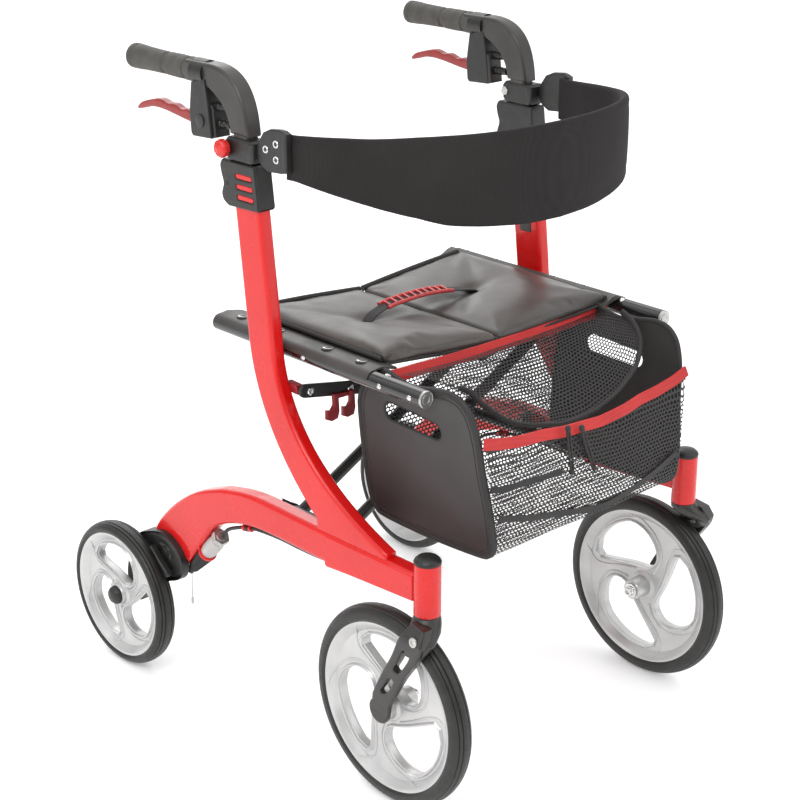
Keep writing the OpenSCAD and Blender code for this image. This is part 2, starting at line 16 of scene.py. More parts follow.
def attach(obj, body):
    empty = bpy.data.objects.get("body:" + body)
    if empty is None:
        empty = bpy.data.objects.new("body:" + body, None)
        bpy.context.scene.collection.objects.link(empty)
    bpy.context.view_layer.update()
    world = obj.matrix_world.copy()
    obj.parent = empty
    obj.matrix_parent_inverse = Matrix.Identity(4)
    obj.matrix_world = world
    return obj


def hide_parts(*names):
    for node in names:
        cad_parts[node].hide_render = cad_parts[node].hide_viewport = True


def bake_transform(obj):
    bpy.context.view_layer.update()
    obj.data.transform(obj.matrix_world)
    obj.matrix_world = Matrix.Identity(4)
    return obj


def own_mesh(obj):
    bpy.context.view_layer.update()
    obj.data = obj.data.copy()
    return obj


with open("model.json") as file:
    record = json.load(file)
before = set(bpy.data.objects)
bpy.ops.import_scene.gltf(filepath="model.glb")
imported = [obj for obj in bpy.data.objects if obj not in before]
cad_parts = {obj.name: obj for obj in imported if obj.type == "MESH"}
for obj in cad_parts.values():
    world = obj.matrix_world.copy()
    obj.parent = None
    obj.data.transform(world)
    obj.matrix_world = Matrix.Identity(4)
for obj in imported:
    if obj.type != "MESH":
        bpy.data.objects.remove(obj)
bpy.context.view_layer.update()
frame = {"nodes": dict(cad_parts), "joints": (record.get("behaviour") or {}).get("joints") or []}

JOINTS = {j["name"]: j for j in frame["joints"]}
SIDES = (("r", -1), ("l", 1))


def hub_mm(joint):
    """A joint's point in hub millimetres."""
    x, y, z = JOINTS[joint]["pos_m"]
    return abs(x) * 1000, y * 1000 - AXLE_Y, z * 1000


AXLE_Y = JOINTS["front_spin_l"]["pos_m"][1] * 1000
FRONT_X, _, FRONT_R = hub_mm("front_spin_l")
REAR_X, WHEELBASE, REAR_R = hub_mm("rear_spin_l")
RAIL_X, _, RAIL_Z = hub_mm("bag_hang_l")
LINK_X, _, LINK_Z = hub_mm("link_turn_l")
KNOB = hub_mm("knob_turn_l")
LEVER = hub_mm("lever_squeeze_l")
FRAME_X = LEVER[0]
TUBE_W = 24
FRAME_IN = FRAME_X - TUBE_W / 2
FRAME_OUT = FRAME_X + TUBE_W / 2
GRIP_Z = 839
POST_LEAN = math.radians(6.6)


# ---------------------------------------------------------------- points and outlines
def at(x, y, z):
    return Vector((x, y + AXLE_Y, z)) / 1000


def bezier(a, b, c, d, n=12):
    points = []
    for i in range(n + 1):
        t = i / n
        u = 1 - t
        points.append(tuple(u**3 * p + 3 * u * u * t * q + 3 * u * t * t * r + t**3 * s
                            for p, q, r, s in zip(a, b, c, d)))
    return points


def arc(centre, radius, start, end, n=8):
    """Points of an arc in a plane; angles in degrees."""
    angles = [math.radians(start + (end - start) * i / n) for i in range(n + 1)]
    return [(centre[0] + radius * math.cos(a), centre[1] + radius * math.sin(a)) for a in angles]


def smooth(points, n=6, closed=False):
    """A Catmull-Rom curve through the points."""
    count = len(points)
    out = []
    for i in range(count if closed else count - 1):
        if closed:
            p = [points[(i + k) % count] for k in (-1, 0, 1, 2)]
        else:
            p = [points[min(max(i + k, 0), count - 1)] for k in (-1, 0, 1, 2)]
        for j in range(n):
            t = j / n
            out.append(tuple(0.5 * (2 * b + (c - a) * t + (2 * a - 5 * b + 4 * c - d) * t * t
                                    + (3 * b - a - 3 * c + d) * t**3) for a, b, c, d in zip(*p)))
    if not closed:
        out.append(tuple(points[-1]))
    return out


def table_value(table, value):
    """The value at a key between the rows of a table of (key, value) pairs with rising keys."""
    if value <= table[0][0]:
        return table[0][1]
    for (a, p), (b, q) in zip(table, table[1:]):
        if value <= b:
            return p + (q - p) * (value - a) / (b - a)
    return table[-1][1]


def area_2d(points):
    return sum(a[0] * b[1] - b[0] * a[1] for a, b in zip(points, points[1:] + points[:1])) / 2


def inset(points, distance):
    """The outline with every edge moved to its left by `distance`."""
    out = []
    for i, point in enumerate(points):
        a, b, c = Vector(points[i - 1]), Vector(point), Vector(points[(i + 1) % len(points)])
        u, v = (b - a).normalized(), (c - b).normalized()
        normal = Vector((-u.y, u.x))
        middle = normal + Vector((-v.y, v.x))
        middle = middle.normalized() if middle.length > 1e-6 else normal
        out.append(tuple(b + middle * (distance / max(middle.dot(normal), 0.5))))
    return out


def shrunk(outline, distance):
    """The outline moved inwards, whichever way round it runs."""
    return inset(outline if area_2d(outline) > 0 else outline[::-1], distance)


# ---------------------------------------------------------------- solids: each returns (points, faces)
def joined(*parts):
    points, faces = [], []
    for more_points, more_faces in parts:
        faces += [tuple(i + len(points) for i in f) for f in more_faces]
        points += more_points
    return points, faces


def plate(outline, x0, x1, r=1.0, holes=(), steps=3):
    """A side view in (Y, Z) made thick from x0 to x1, with edges rounded by r."""
    loops = []
    for loop, is_hole in [(outline, False)] + [(h, True) for h in holes]:
        loop = [tuple(p) for p in loop]
        if (area_2d(loop) > 0) == is_hole:
            loop.reverse()
        loops.append(loop)
    profile = []
    for k in range(steps + 1):
        a = math.pi / 2 * k / steps
        profile.append((r * (1 - math.sin(a)), x0 + r * (1 - math.cos(a))))
    profile += [(d, x0 + x1 - x) for d, x in reversed(profile)]
    points, faces, caps = [], [], ([], [])
    for loop in loops:
        start, n = len(points), len(loop)
        for d, x in profile:
            points += [(x, y, z) for y, z in inset(loop, d)]
        for k in range(len(profile) - 1):
            for i in range(n):
                j = (i + 1) % n
                faces.append((start + k * n + i, start + k * n + j, start + (k + 1) * n + j,
                              start + (k + 1) * n + i))
        caps[0].append([start + i for i in range(n)])
        caps[1].append([start + (len(profile) - 1) * n + i for i in range(n)])
    for cap, flip in zip(caps, (True, False)):
        flat = [i for loop in cap for i in loop]
        loops_3d = [[Vector((points[i][1], points[i][2], 0)) for i in loop] for loop in cap]
        for triangle in tessellate_polygon(loops_3d):
            face = tuple(flat[i] for i in triangle)
            faces.append(face[::-1] if flip else face)
    return points, faces


def frame_axes(direction):
    d = Vector(direction).normalized()
    u = d.orthogonal().normalized()
    return d, u, d.cross(u)


def lathe(profile, centre, direction=(1, 0, 0), steps=40, lobes=0, lobe_depth=0.0, ring=False):
    """A profile of (distance along the direction, radius) turned about the axis; lobes scallop it.
    A ring's profile is a closed loop, and otherwise the ends are closed with discs."""
    d, u, v = frame_axes(direction)
    centre = Vector(centre)
    points, faces = [], []
    for h, r in profile:
        for i in range(steps):
            a = 2 * math.pi * i / steps
            radius = r * (1 + lobe_depth * math.cos(lobes * a)) if lobes else r
            points.append(tuple(centre + d * h + (u * math.cos(a) + v * math.sin(a)) * radius))
    for k in range(len(profile) if ring else len(profile) - 1):
        m = (k + 1) % len(profile)
        for i in range(steps):
            j = (i + 1) % steps
            faces.append((k * steps + i, k * steps + j, m * steps + j, m * steps + i))
    if not ring:
        last = (len(profile) - 1) * steps
        faces.append(tuple(range(steps))[::-1])
        faces.append(tuple(last + i for i in range(steps)))
    return points, faces


def tube(path, radius, sides=12, squash=1.0):
    """A round or flattened tube along a path, with closed ends."""
    path = [Vector(p) for p in path]
    radii = radius if isinstance(radius, list) else [radius] * len(path)
    ahead, behind = path[1:] + path[-1:], path[:1] + path[:-1]
    tangents = [(a - b).normalized() for a, b in zip(ahead, behind)]
    normal = tangents[0].orthogonal().normalized()
    points, faces = [], []
    for p, t, r in zip(path, tangents, radii):
        normal = (normal - t * normal.dot(t)).normalized()
        side = t.cross(normal)
        for i in range(sides):
            a = 2 * math.pi * i / sides
            points.append(tuple(p + (normal * math.cos(a) * squash + side * math.sin(a)) * r))
    for k in range(len(path) - 1):
        for i in range(sides):
            j = (i + 1) % sides
            faces.append((k * sides + i, k * sides + j, (k + 1) * sides + j, (k + 1) * sides + i))
    last = (len(path) - 1) * sides
    faces.append(tuple(range(sides))[::-1])
    faces.append(tuple(last + i for i in range(sides)))
    return points, faces


def loft(rings, closed=True, caps=True):
    """Rings with the same number of points, joined in order. An open ring makes a sheet."""
    n = len(rings[0])
    points = [tuple(p) for ring in rings for p in ring]
    faces = []
    for k in range(len(rings) - 1):
        for i in range(n if closed else n - 1):
            j = (i + 1) % n
            faces.append((k * n + i, k * n + j, (k + 1) * n + j, (k + 1) * n + i))
    if closed and caps:
        faces.append(tuple(range(n))[::-1])
        faces.append(tuple((len(rings) - 1) * n + i for i in range(n)))
    return points, faces


def rounded_ring(w, d, r, n=4):
    """Points of a rounded rectangle, w by d, about (0, 0)."""
    out = []
    for cx, cy, start in ((1, 1, 0), (-1, 1, 90), (-1, -1, 180), (1, -1, 270)):
        out += arc((cx * (w / 2 - r), cy * (d / 2 - r)), r, start, start + 90, n)
    return out


def hexagon(across, h0, h1, centre, direction):
    d, u, v = frame_axes(direction)
    r = across / math.sqrt(3)
    rings = []
    for h, s in ((h0, 0.94), (h0 + 0.5, 1), (h1 - 0.5, 1), (h1, 0.94)):
        ring = []
        for i in range(6):
            a = math.radians(60 * i)
            ring.append(tuple(Vector(centre) + d * h + (u * math.cos(a) + v * math.sin(a)) * r * s))
        rings.append(ring)
    return loft(rings)


# ---------------------------------------------------------------- pieces
def make(name, solid, material, body=None, side=1, slot=None, replaces=(), angle=38, closed=True,
         weighted=True):
    """A piece from hub millimetres of the left half. side -1 mirrors it to the right."""
    points, faces = solid
    mesh = bpy.data.meshes.new(name)
    mesh.from_pydata([at(side * x, y, z) for x, y, z in points], [], faces)
    work = bmesh.new()
    work.from_mesh(mesh)
    if side < 0:
        bmesh.ops.reverse_faces(work, faces=work.faces)
    bmesh.ops.remove_doubles(work, verts=work.verts, dist=1e-6)
    if closed:
        bmesh.ops.recalc_face_normals(work, faces=work.faces)
    work.to_mesh(mesh)
    work.free()
    mesh.shade_smooth()
    mesh.set_sharp_from_angle(angle=math.radians(angle))
    piece = bpy.data.objects.new(name, mesh)
    bpy.context.scene.collection.objects.link(piece)
    mesh.materials.append(material)
    if weighted:
        modifier = piece.modifiers.new("weighted", "WEIGHTED_NORMAL")
        modifier.keep_sharp = True
    if body:
        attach(piece, body)
    if replaces:
        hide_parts(*replaces)
    return piece


def both(name, solid, material, body, slot, replaces=(), **more):
    """The same piece on both sides. body and replaces take the side's letter at the end."""
    return [make(f"{name}_{s}", solid, material, f"{body}_{s}", g, slot, [f"{n}_{s}" for n in replaces],
                 **more)
            for s, g in SIDES]


# ---------------------------------------------------------------- materials
def shader_nodes(name, **sockets):
    material = bpy.data.materials.new(name)
    material.use_nodes = True
    tree = material.node_tree
    shader = tree.nodes["Principled BSDF"]
    for key, value in sockets.items():
        shader.inputs[key.replace("_", " ")].default_value = value
    return material, tree, shader


def math_node(tree, operation, a, b=None):
    node = tree.nodes.new("ShaderNodeMath")
    node.operation = operation
    for socket, value in zip(node.inputs, (a, b)):
        if value is None:
            continue
        if isinstance(value, (int, float)):
            socket.default_value = value
        else:
            tree.links.new(value, socket)
    return node.outputs[0]


def noise_of(tree, scale, detail=3.0, source=None):
    node = tree.nodes.new("ShaderNodeTexNoise")
    node.inputs["Scale"].default_value = scale
    node.inputs["Detail"].default_value = detail
    if source is None:
        source = tree.nodes.new("ShaderNodeTexCoord").outputs["Object"]
    tree.links.new(source, node.inputs["Vector"])
    return node.outputs["Fac"]


def ramp(tree, factor, stops):
    node = tree.nodes.new("ShaderNodeValToRGB")
    tree.links.new(factor, node.inputs["Fac"])
    elements = node.color_ramp.elements
    elements[0].position, elements[0].color = stops[0][0], (*stops[0][1], 1)
    elements[1].position, elements[1].color = stops[-1][0], (*stops[-1][1], 1)
    for position, colour in stops[1:-1]:
        element = elements.new(position)
        element.color = (*colour, 1)
    return node.outputs["Color"]


def bump(tree, shader, height, strength, distance, coat=False):
    node = tree.nodes.new("ShaderNodeBump")
    node.inputs["Strength"].default_value = strength
    node.inputs["Distance"].default_value = distance
    tree.links.new(height, node.inputs["Height"])
    tree.links.new(node.outputs["Normal"], shader.inputs["Normal"])
    if coat:
        tree.links.new(node.outputs["Normal"], shader.inputs["Coat Normal"])


def surface(name, dark, light, grain=30, rough=(0.4, 0.5), texture=400, strength=0.1, distance=0.0002,
            **sockets):
    """A hard surface: two close colours mixed by noise, uneven gloss and a fine texture."""
    material, tree, shader = shader_nodes(name, **sockets)
    tree.links.new(ramp(tree, noise_of(tree, grain), [(0.3, dark), (0.7, light)]),
                   shader.inputs["Base Color"])
    low, high = ((r, r, r) for r in rough)
    tree.links.new(ramp(tree, noise_of(tree, grain * 2.3, 5), [(0.35, low), (0.65, high)]),
                   shader.inputs["Roughness"])
    bump(tree, shader, noise_of(tree, texture, 4), strength, distance)
    return material


def woven(name, dark, light, pitch, rough, strength=0.4, **sockets):
    """A woven cloth: threads that cross about `pitch` metres apart, with soft lighter and darker patches."""
    material, tree, shader = shader_nodes(name, Roughness=rough, **sockets)
    source = tree.nodes.new("ShaderNodeTexCoord").outputs["Object"]
    waves = []
    for direction in ("X", "Y", "Z"):
        wave = tree.nodes.new("ShaderNodeTexWave")
        wave.bands_direction = direction
        wave.inputs["Scale"].default_value = 0.314 / pitch
        wave.inputs["Distortion"].default_value = 0.6
        wave.inputs["Detail Scale"].default_value = 2
        tree.links.new(source, wave.inputs["Vector"])
        waves.append(wave.outputs["Fac"])
    threads = math_node(tree, "MULTIPLY", math_node(tree, "ADD", waves[0], waves[1]), waves[2])
    patches = noise_of(tree, 9, 4, source)
    tone = math_node(tree, "ADD", math_node(tree, "MULTIPLY", threads, 0.25), patches)
    tree.links.new(ramp(tree, tone, [(0.35, dark), (0.95, light)]), shader.inputs["Base Color"])
    bump(tree, shader, threads, strength, pitch * 0.4)
    return material


def net(name, thread, hole_share=0.38, pitch=0.0058, **sockets):
    """A net of round holes in staggered, warped rows, cut by transparency and laid out by the UV map."""
    material, tree, shader = shader_nodes(name, Roughness=0.55, **sockets)
    uv = tree.nodes.new("ShaderNodeUVMap")
    uv.uv_map = "UVMap"
    split = tree.nodes.new("ShaderNodeSeparateXYZ")
    tree.links.new(uv.outputs["UV"], split.inputs["Vector"])
    warp = [math_node(tree, "MULTIPLY", noise_of(tree, scale, 1), 1.5) for scale in (18, 23)]
    rows = math_node(tree, "ADD", math_node(tree, "DIVIDE", split.outputs["Y"], pitch * 0.866), warp[0])
    shift = math_node(tree, "MULTIPLY", math_node(tree, "MODULO", math_node(tree, "FLOOR", rows), 2), 0.5)
    columns = math_node(tree, "ADD", math_node(tree, "DIVIDE", split.outputs["X"], pitch), shift)
    columns = math_node(tree, "ADD", columns, warp[1])
    across = math_node(tree, "SUBTRACT", math_node(tree, "FRACT", columns), 0.5)
    along = math_node(tree, "SUBTRACT", math_node(tree, "FRACT", rows), 0.5)
    square = math_node(tree, "ADD", math_node(tree, "MULTIPLY", across, across),
                       math_node(tree, "MULTIPLY", along, along))
    distance = math_node(tree, "SQRT", square)
    solid = math_node(tree, "GREATER_THAN", distance, hole_share)
    tree.links.new(solid, shader.inputs["Alpha"])
    tone = noise_of(tree, 60, 2)
    tree.links.new(ramp(tree, tone, [(0.3, thread), (0.7, tuple(c * 1.4 for c in thread))]),
                   shader.inputs["Base Color"])
    bump(tree, shader, distance, 0.5, 0.0006)
    return material


RED = surface("frame red paint", (0.6, 0.004, 0.004), (0.66, 0.007, 0.006), 12, (0.22, 0.3), 900, 0.04,
              0.0001, Coat_Weight=0.4, Coat_Roughness=0.06, Specular_IOR_Level=0.3)
SATIN_BLACK = surface("satin black paint", (0.012, 0.012, 0.012), (0.022, 0.021, 0.02), 40, (0.28, 0.38),
                      700, 0.08)
RAIL_BLACK = surface("glossy rail", (0.008, 0.008, 0.008), (0.014, 0.014, 0.014), 40, (0.1, 0.18), 700, 0.03,
                     Specular_IOR_Level=0.8)
BLACK_PLASTIC = surface("black plastic", (0.01, 0.01, 0.01), (0.018, 0.017, 0.016), 50, (0.36, 0.48), 1300,
                        0.16, 0.0002)
FORK_BLACK = surface("cast black", (0.016, 0.015, 0.014), (0.028, 0.026, 0.024), 45, (0.26, 0.36), 1100, 0.12)
GRAPHITE = surface("graphite paint", (0.045, 0.042, 0.04), (0.062, 0.058, 0.055), 30, (0.34, 0.42), 1500,
                   0.12, Metallic=0.35)
GRIP = surface("grip rubber", (0.055, 0.051, 0.045), (0.075, 0.07, 0.062), 60, (0.6, 0.72), 1700, 0.3, 0.0003)
LEVER_RED = surface("lever red", (0.24, 0.02, 0.02), (0.34, 0.034, 0.032), 60, (0.3, 0.4), 900, 0.08)
PLASTIC_RED = surface("red plastic", (0.6, 0.02, 0.018), (0.68, 0.028, 0.024), 60, (0.22, 0.32), 900, 0.06)
# Dark red of the bag hooks. On the link ear the same colour is painted shade.
HOOK_RED_AND_EAR_SHADE = surface("dark red plastic and ear shade", (0.22, 0.012, 0.016), (0.3, 0.016, 0.02), 60, (0.3, 0.4), 900, 0.08)
RIM = surface("silver rim", (0.5, 0.5, 0.5), (0.58, 0.58, 0.575), 30, (0.28, 0.38), 1400, 0.08, Metallic=0.5)
TYRE = surface("tyre rubber", (0.009, 0.009, 0.008), (0.017, 0.016, 0.015), 80, (0.38, 0.5), 1200, 0.25,
               0.0003)
CHROME = surface("chrome", (0.7, 0.7, 0.7), (0.78, 0.78, 0.78), 60, (0.12, 0.2), 900, 0.03, Metallic=1.0)
STEEL = surface("zinc steel", (0.42, 0.42, 0.41), (0.55, 0.55, 0.53), 90, (0.28, 0.4), 900, 0.08,
                Metallic=0.9)
ANCHOR = surface("grey barrel", (0.42, 0.4, 0.39), (0.5, 0.48, 0.47), 70, (0.4, 0.5), 900, 0.1, Metallic=0.2)
CABLE = surface("cable black", (0.012, 0.012, 0.012), (0.02, 0.02, 0.02), 90, (0.35, 0.45), 900, 0.1)
VINYL = surface("seat vinyl", (0.05, 0.045, 0.041), (0.074, 0.066, 0.061), 11, (0.3, 0.4), 1500, 0.2, 0.0003)
SLEEVE = surface("sleeve vinyl", (0.03, 0.028, 0.026), (0.048, 0.045, 0.042), 14, (0.4, 0.52), 1500, 0.3,
                 0.0003)
BINDING = woven("black binding", (0.013, 0.012, 0.012), (0.035, 0.033, 0.032), 0.0012, 0.7)
BAND = woven("band cloth", (0.012, 0.01, 0.01), (0.024, 0.021, 0.021), 0.0011, 0.8, 0.3,
             Specular_IOR_Level=0.25)
BAG_SIDE = surface("bag side cloth", (0.022, 0.019, 0.019), (0.034, 0.03, 0.03), 9, (0.42, 0.52), 1500, 0.2,
                   0.0003)
RED_TAPE = woven("red tape", (0.42, 0.012, 0.012), (0.62, 0.028, 0.026), 0.0012, 0.6)
NET = net("bag net", (0.012, 0.011, 0.011))
LADDER_RED = surface("ladder red", (0.45, 0.03, 0.03), (0.6, 0.05, 0.05), 90, (0.3, 0.4), 900, 0.1)


def repaint(node, material, bevel=0.0):
    """A CAD node keeps its shape and gets a finished material, and a small bevel where it has hard edges."""
    piece = frame["nodes"][node]
    piece.data.materials.clear()
    piece.data.materials.append(material)
    if bevel:
        modifier = piece.modifiers.new("bevel", "BEVEL")
        modifier.width = bevel
        modifier.segments = 2
        modifier.limit_method = "ANGLE"
        modifier.angle_limit = math.radians(35)


# ---------------------------------------------------------------- side frames
POST_TOP = (239, 740)


def lean(z):
    return (z - POST_TOP[1]) * math.tan(POST_LEAN)


def build_beam():
    top = [(-46, 320), (0, 320), (120, 320)] + smooth(
        [(202, 321.5), (239, 321.5), (271, 318), (304, 311), (321, 306), (364, 288.5), (409, 259),
         (446, 224), (462, 200)], 3)
    low = smooth([(399, 166), (366, 204), (334, 244), (318, 256), (292, 267), (262, 275), (231, 278.5),
                  (190, 279)], 3)
    outline = top + low + [(112, 278), (-46, 284)]
    body = plate(outline, FRAME_IN, FRAME_OUT, 6, steps=4)
    sleeve = plate([(-44, 316), (107, 316), (109, 312), (109, 277), (106, 274.5), (63, 278), (-44, 284.5)],
                   FRAME_IN + 1.5, FRAME_OUT + 0.6, 2)
    both("beam", body, RED, "side_frame", "frame_red", ["lower_beam"])
    both("beam_sleeve", sleeve, RED, "side_frame", "frame_red")


def build_upright():
    """The upright is shallower and thinner than the beam. Its front edge sweeps down to the beam's top."""
    top = POST_TOP[1]
    front, rear, base = POST_TOP[0] - 15, POST_TOP[0] + 32, 538
    sweep = bezier((front + lean(base), base), (196, 424), (96, 359), (2, 326), 26)
    back = bezier((126, 330), (191, 383), (240, 453), (rear + lean(base), base), 20)
    outline = [(front, top)] + sweep + [(2, 316), (126, 316)] + back + [(rear, top)]
    both("upright", plate(outline, FRAME_IN + 3, FRAME_OUT - 1.2, 5.5, steps=4), RED, "side_frame",
         "frame_red", ["upright_tube"])
    # The link ear takes the hooks' darker red as painted shade for the shadow it sits in. The frame's own
    # paint there is red.
    ear = plate([(176, 471), (177, 482), (198, 483), (199, 472)], LINK_X - 2, FRAME_IN + 6, 2)
    both("link_ear", ear, HOOK_RED_AND_EAR_SHADE, "side_frame", "frame_red")


HEAD_AXIS = (232.3, -56, 0)


def build_head():
    low, high = 268.8, 333.9
    shell = [(low, 13), (low, 15.2), (low + 0.8, 16), (high - 0.8, 16), (high, 15.2), (high, 13)]
    both("head_sleeve", lathe(shell, HEAD_AXIS, (0, 0, 1), 56, ring=True), RED, "side_frame",
         "frame_red", ["head_tube"])
    cap = [(high - 6, 13), (high - 0.2, 13.4), (high - 0.2, 16), (high + 2, 16.4), (high + 4.6, 15.2),
           (high + 7.4, 12), (high + 9, 7), (high + 9.5, 0.01)]
    both("head_plug", lathe(cap, HEAD_AXIS, (0, 0, 1), 56), BLACK_PLASTIC, "side_frame",
         "black_plastic", ["head_cap"])


def slot_outline(y0, y1, z, half):
    return arc((y1 - half, z), half, -90, 90, 6) + arc((y0 + half, z), half, 90, 270, 6)


def build_collar():
    rear = smooth([(271, 689), (281, 695), (284, 704), (280.5, 716), (284, 727), (286, 738), (282, 745)], 4)
    front = [(224, 745), (221.5, 741), (215.5, 694), (218, 691)]
    outline = rear + front
    both("collar", plate(outline, FRAME_IN - 0.6, FRAME_OUT + 0.6, 2.2), BLACK_PLASTIC, "side_frame",
         "black_plastic", ["height_collar"])
    slots = [slot_outline(223 + 1.2 * k, 255 + 1.2 * k, 703.5 + 12.5 * k, 3.2) for k in range(3)]
    both("collar_cheek", plate(shrunk(outline, 0.8), FRAME_OUT - 0.4, FRAME_OUT + 2.2, 1.3, slots),
         BLACK_PLASTIC, "side_frame", "black_plastic")
    bars = joined(*[plate(slot_outline(225.5 + 1.2 * k, 254.8 + 1.2 * k, 703.5 + 12.5 * k, 2.9),
                          FRAME_OUT + 0.2, FRAME_OUT + 1.3, 0.6) for k in range(3)])
    both("collar_window", bars, RED, "side_frame", "frame_red")
    screw = lathe([(0, 3.4), (1.2, 3.4), (1.6, 2.8), (1.6, 1.6), (0.6, 1.4), (0.6, 0.01)],
                  (FRAME_OUT + 1.2, 273, 716))
    both("collar_screw", screw, SATIN_BLACK, "side_frame", "black_metal")


def build_clamp():
    outline = [(228, 745.5), (270, 745.5), (275, 750), (276, 768), (271, 773), (228, 773), (223, 768),
               (224, 750)]
    body = plate(outline, FRAME_IN + 0.3, FRAME_OUT + 1.6, 3, steps=4)
    band = plate([(223.5, 748), (234, 747.6), (234, 771.4), (223, 770.6)], FRAME_IN - 0.2, FRAME_OUT + 2.2,
                 2.6)
    both("clamp", joined(body, band), BLACK_PLASTIC, "side_frame", "black_plastic", ["post_clamp"])
    both("clamp_nut", hexagon(11, 0, 1.6, (FRAME_IN + 0.4, KNOB[1], KNOB[2]), (-1, 0, 0)), STEEL,
         "side_frame", "steel")


def build_plate():
    outline = [(223, 758), (217, 748), (205, 741.5), (180, 743.5), (174, 747), (172, 752), (172, 786),
               (175, 793), (180, 795), (198, 793), (211, 787), (221, 773), (223, 768)]
    body = plate(outline, FRAME_OUT - 11, FRAME_OUT - 3.4, 2)
    lip = plate([(169, 746), (177, 744.5), (177, 794), (169, 791)], FRAME_OUT - 13, FRAME_OUT - 2.4, 2.2)
    both("hinge_plate", joined(body, lip), BLACK_PLASTIC, "side_frame", "black_plastic", ["backrest_plate"])
    screws = []
    places = ((206, 768.1), (187.5, 777.1), (187.5, 758.7))
    for y, z in places:
        screws.append(lathe([(0, 4.6), (0.8, 4.6), (1.3, 4.1), (1.3, 3.3), (0.4, 2.8), (0.4, 0.01)],
                            (FRAME_OUT - 3.6, y, z), (1, 0, 0), 24))
    both("plate_screws", joined(*screws), CHROME, "side_frame", "steel")
    # Each chrome screw's hex socket is drawn as a flat black hexagon: painted shade for the hole.
    sockets = [lathe([(0, 2.7), (0.5, 2.7), (0.5, 0.01)], (FRAME_OUT - 3.3, y, z), (1, 0, 0), 6)
               for y, z in places]
    both("plate_socket_shade", joined(*sockets), SATIN_BLACK, "side_frame", "black_metal")


def build_housing():
    """The black hub housing bulges outboard to the tyre's inner shoulder, with a screw in a round recess."""
    outline = [(399, 163), (402, 172), (430, 194), (447, 207), (468, 201), (487, 191), (496, 184)] + smooth(
        [(505, 176), (514, 152), (521, 122), (519, 98)], 4)
    outline += arc((WHEELBASE, REAR_R), 19, -20, -130, 8) + [(474, 110), (441, 135), (414, 149)]
    screw_y, screw_z = 428, 182
    recess = arc((screw_y, screw_z), 9, 0, 330, 11)
    body = plate(outline, FRAME_IN - 2, FRAME_OUT + 7, 7, steps=5)
    bulge = smooth([(386, 170), (389, 187), (404, 202), (430, 211), (458, 204), (484, 191), (493, 168),
                    (486, 142), (464, 130), (438, 137), (410, 147), (393, 156)], 3, True)
    drum = plate(bulge, FRAME_OUT, REAR_X - 16, 9, [recess], steps=5)
    floor = lathe([(0, 11), (1, 11)], (REAR_X - 24, screw_y, screw_z), (1, 0, 0), 24)
    both("hub_housing", joined(body, drum, floor), BLACK_PLASTIC, "side_frame", "black_plastic",
         ["rear_hub_housing"])
    axle = joined(lathe([(0, 6), (FRAME_X - REAR_X + 34, 6)], (FRAME_X, WHEELBASE, REAR_R)),
                  lathe([(0, 11), (1, 12), (7, 12), (8, 11)], (FRAME_OUT + 4, WHEELBASE, REAR_R)))
    both("rear_axle", axle, STEEL, "side_frame", "steel")
    screw = [(0, 5), (1.4, 5), (2, 4.2), (2, 2.6), (1, 2.2), (1, 0.01)]
    both("housing_screws", lathe(screw, (REAR_X - 23, screw_y, screw_z)), SATIN_BLACK, "side_frame",
         "black_metal")


CABLE_FROM = Vector((321, 240))
CABLE_TO = Vector((404, 151))


def build_cable():
    direction = (CABLE_TO - CABLE_FROM).normalized()
    along = (0, direction.x, direction.y)
    start = (FRAME_X, CABLE_FROM.x, CABLE_FROM.y)
    nut = hexagon(21, 7, 15, start, along)
    collar = lathe([(5, 5), (5.6, 7), (8, 7.4)], start, along, 24)
    barrel = lathe([(15, 9), (16, 10.6), (24, 10.6), (26, 11.2), (44, 11.2), (48, 10.6), (51, 10)], start,
                   along, 32)
    both("adjuster_nut", joined(nut, collar), STEEL, "side_frame", "steel", angle=30)
    both("adjuster_barrel", barrel, ANCHOR, "side_frame", "anchor_grey", ["cable_anchor"])
    ring = lathe([(51, 6), (51, 12.4), (52, 13), (54, 13), (55, 12.4), (55, 6)], start, along, 32)
    normal = Vector((-direction.y, direction.x))
    middle = CABLE_FROM + direction * 53
    tab = [tuple(middle + direction * a + normal * b) for a, b in ((-2, 8), (2, 8), (2, 30), (-2, 30))]
    both("adjuster_tab", joined(ring, plate(tab, FRAME_X - 10, FRAME_X + 10, 0.8)), RED, "side_frame",
         "frame_red")
    bellows = [(55, 11)]
    for i in range(9):
        r = 12 - 0.6 * i
        bellows += [(57 + 4.8 * i, r - 1.6), (59 + 4.8 * i, r), (61 + 4.8 * i, r - 1.8)]
    bellows += [(104, 4.8), (109, 4.2), (109, 0.01)]
    both("bellows", lathe(bellows, start, along, 32), CABLE, "side_frame", "cable_black")
    tip = CABLE_FROM + direction * 106
    wire = tube([(FRAME_X, tip.x, tip.y - 1), (FRAME_X, tip.x + 0.5, tip.y - 14),
                 (FRAME_X, tip.x + 1, 120)], 0.7, 8)
    crimp = lathe([(0, 1.4), (0.4, 1.8), (8.6, 1.8), (9, 1.4)], (FRAME_X, tip.x + 1, 112), (0, 0, 1), 16)
    both("bare_wire", joined(wire, crimp), STEEL, "side_frame", "steel")
    path = smooth([(FRAME_X, 112, 279), (FRAME_X, 124, 275), (FRAME_X, 165, 273.5), (FRAME_X, 208, 273.5),
                   (FRAME_X, 252, 270), (FRAME_X, 278, 264), (FRAME_X, 299, 256), (FRAME_X, 312, 249),
                   (FRAME_X, 322, 239)], 5)
    both("brake_hose", tube(path, 2.5, 12), CABLE, "side_frame", "cable_black", ["brake_cable"])
    clip = []
    for y, z in ((264, 267.4), (270, 265.8), (276, 264.4)):
        clip.append(lathe([(-2.4, 3.2), (-2.2, 4.6), (2.2, 4.6), (2.4, 3.2)], (FRAME_X, y, z),
                          (0, 1, -0.25), 20))
    both("hose_clip", joined(clip[0], clip[2]), RED, "side_frame", "frame_red")
    both("hose_clip_core", clip[1], CABLE, "side_frame", "cable_black")


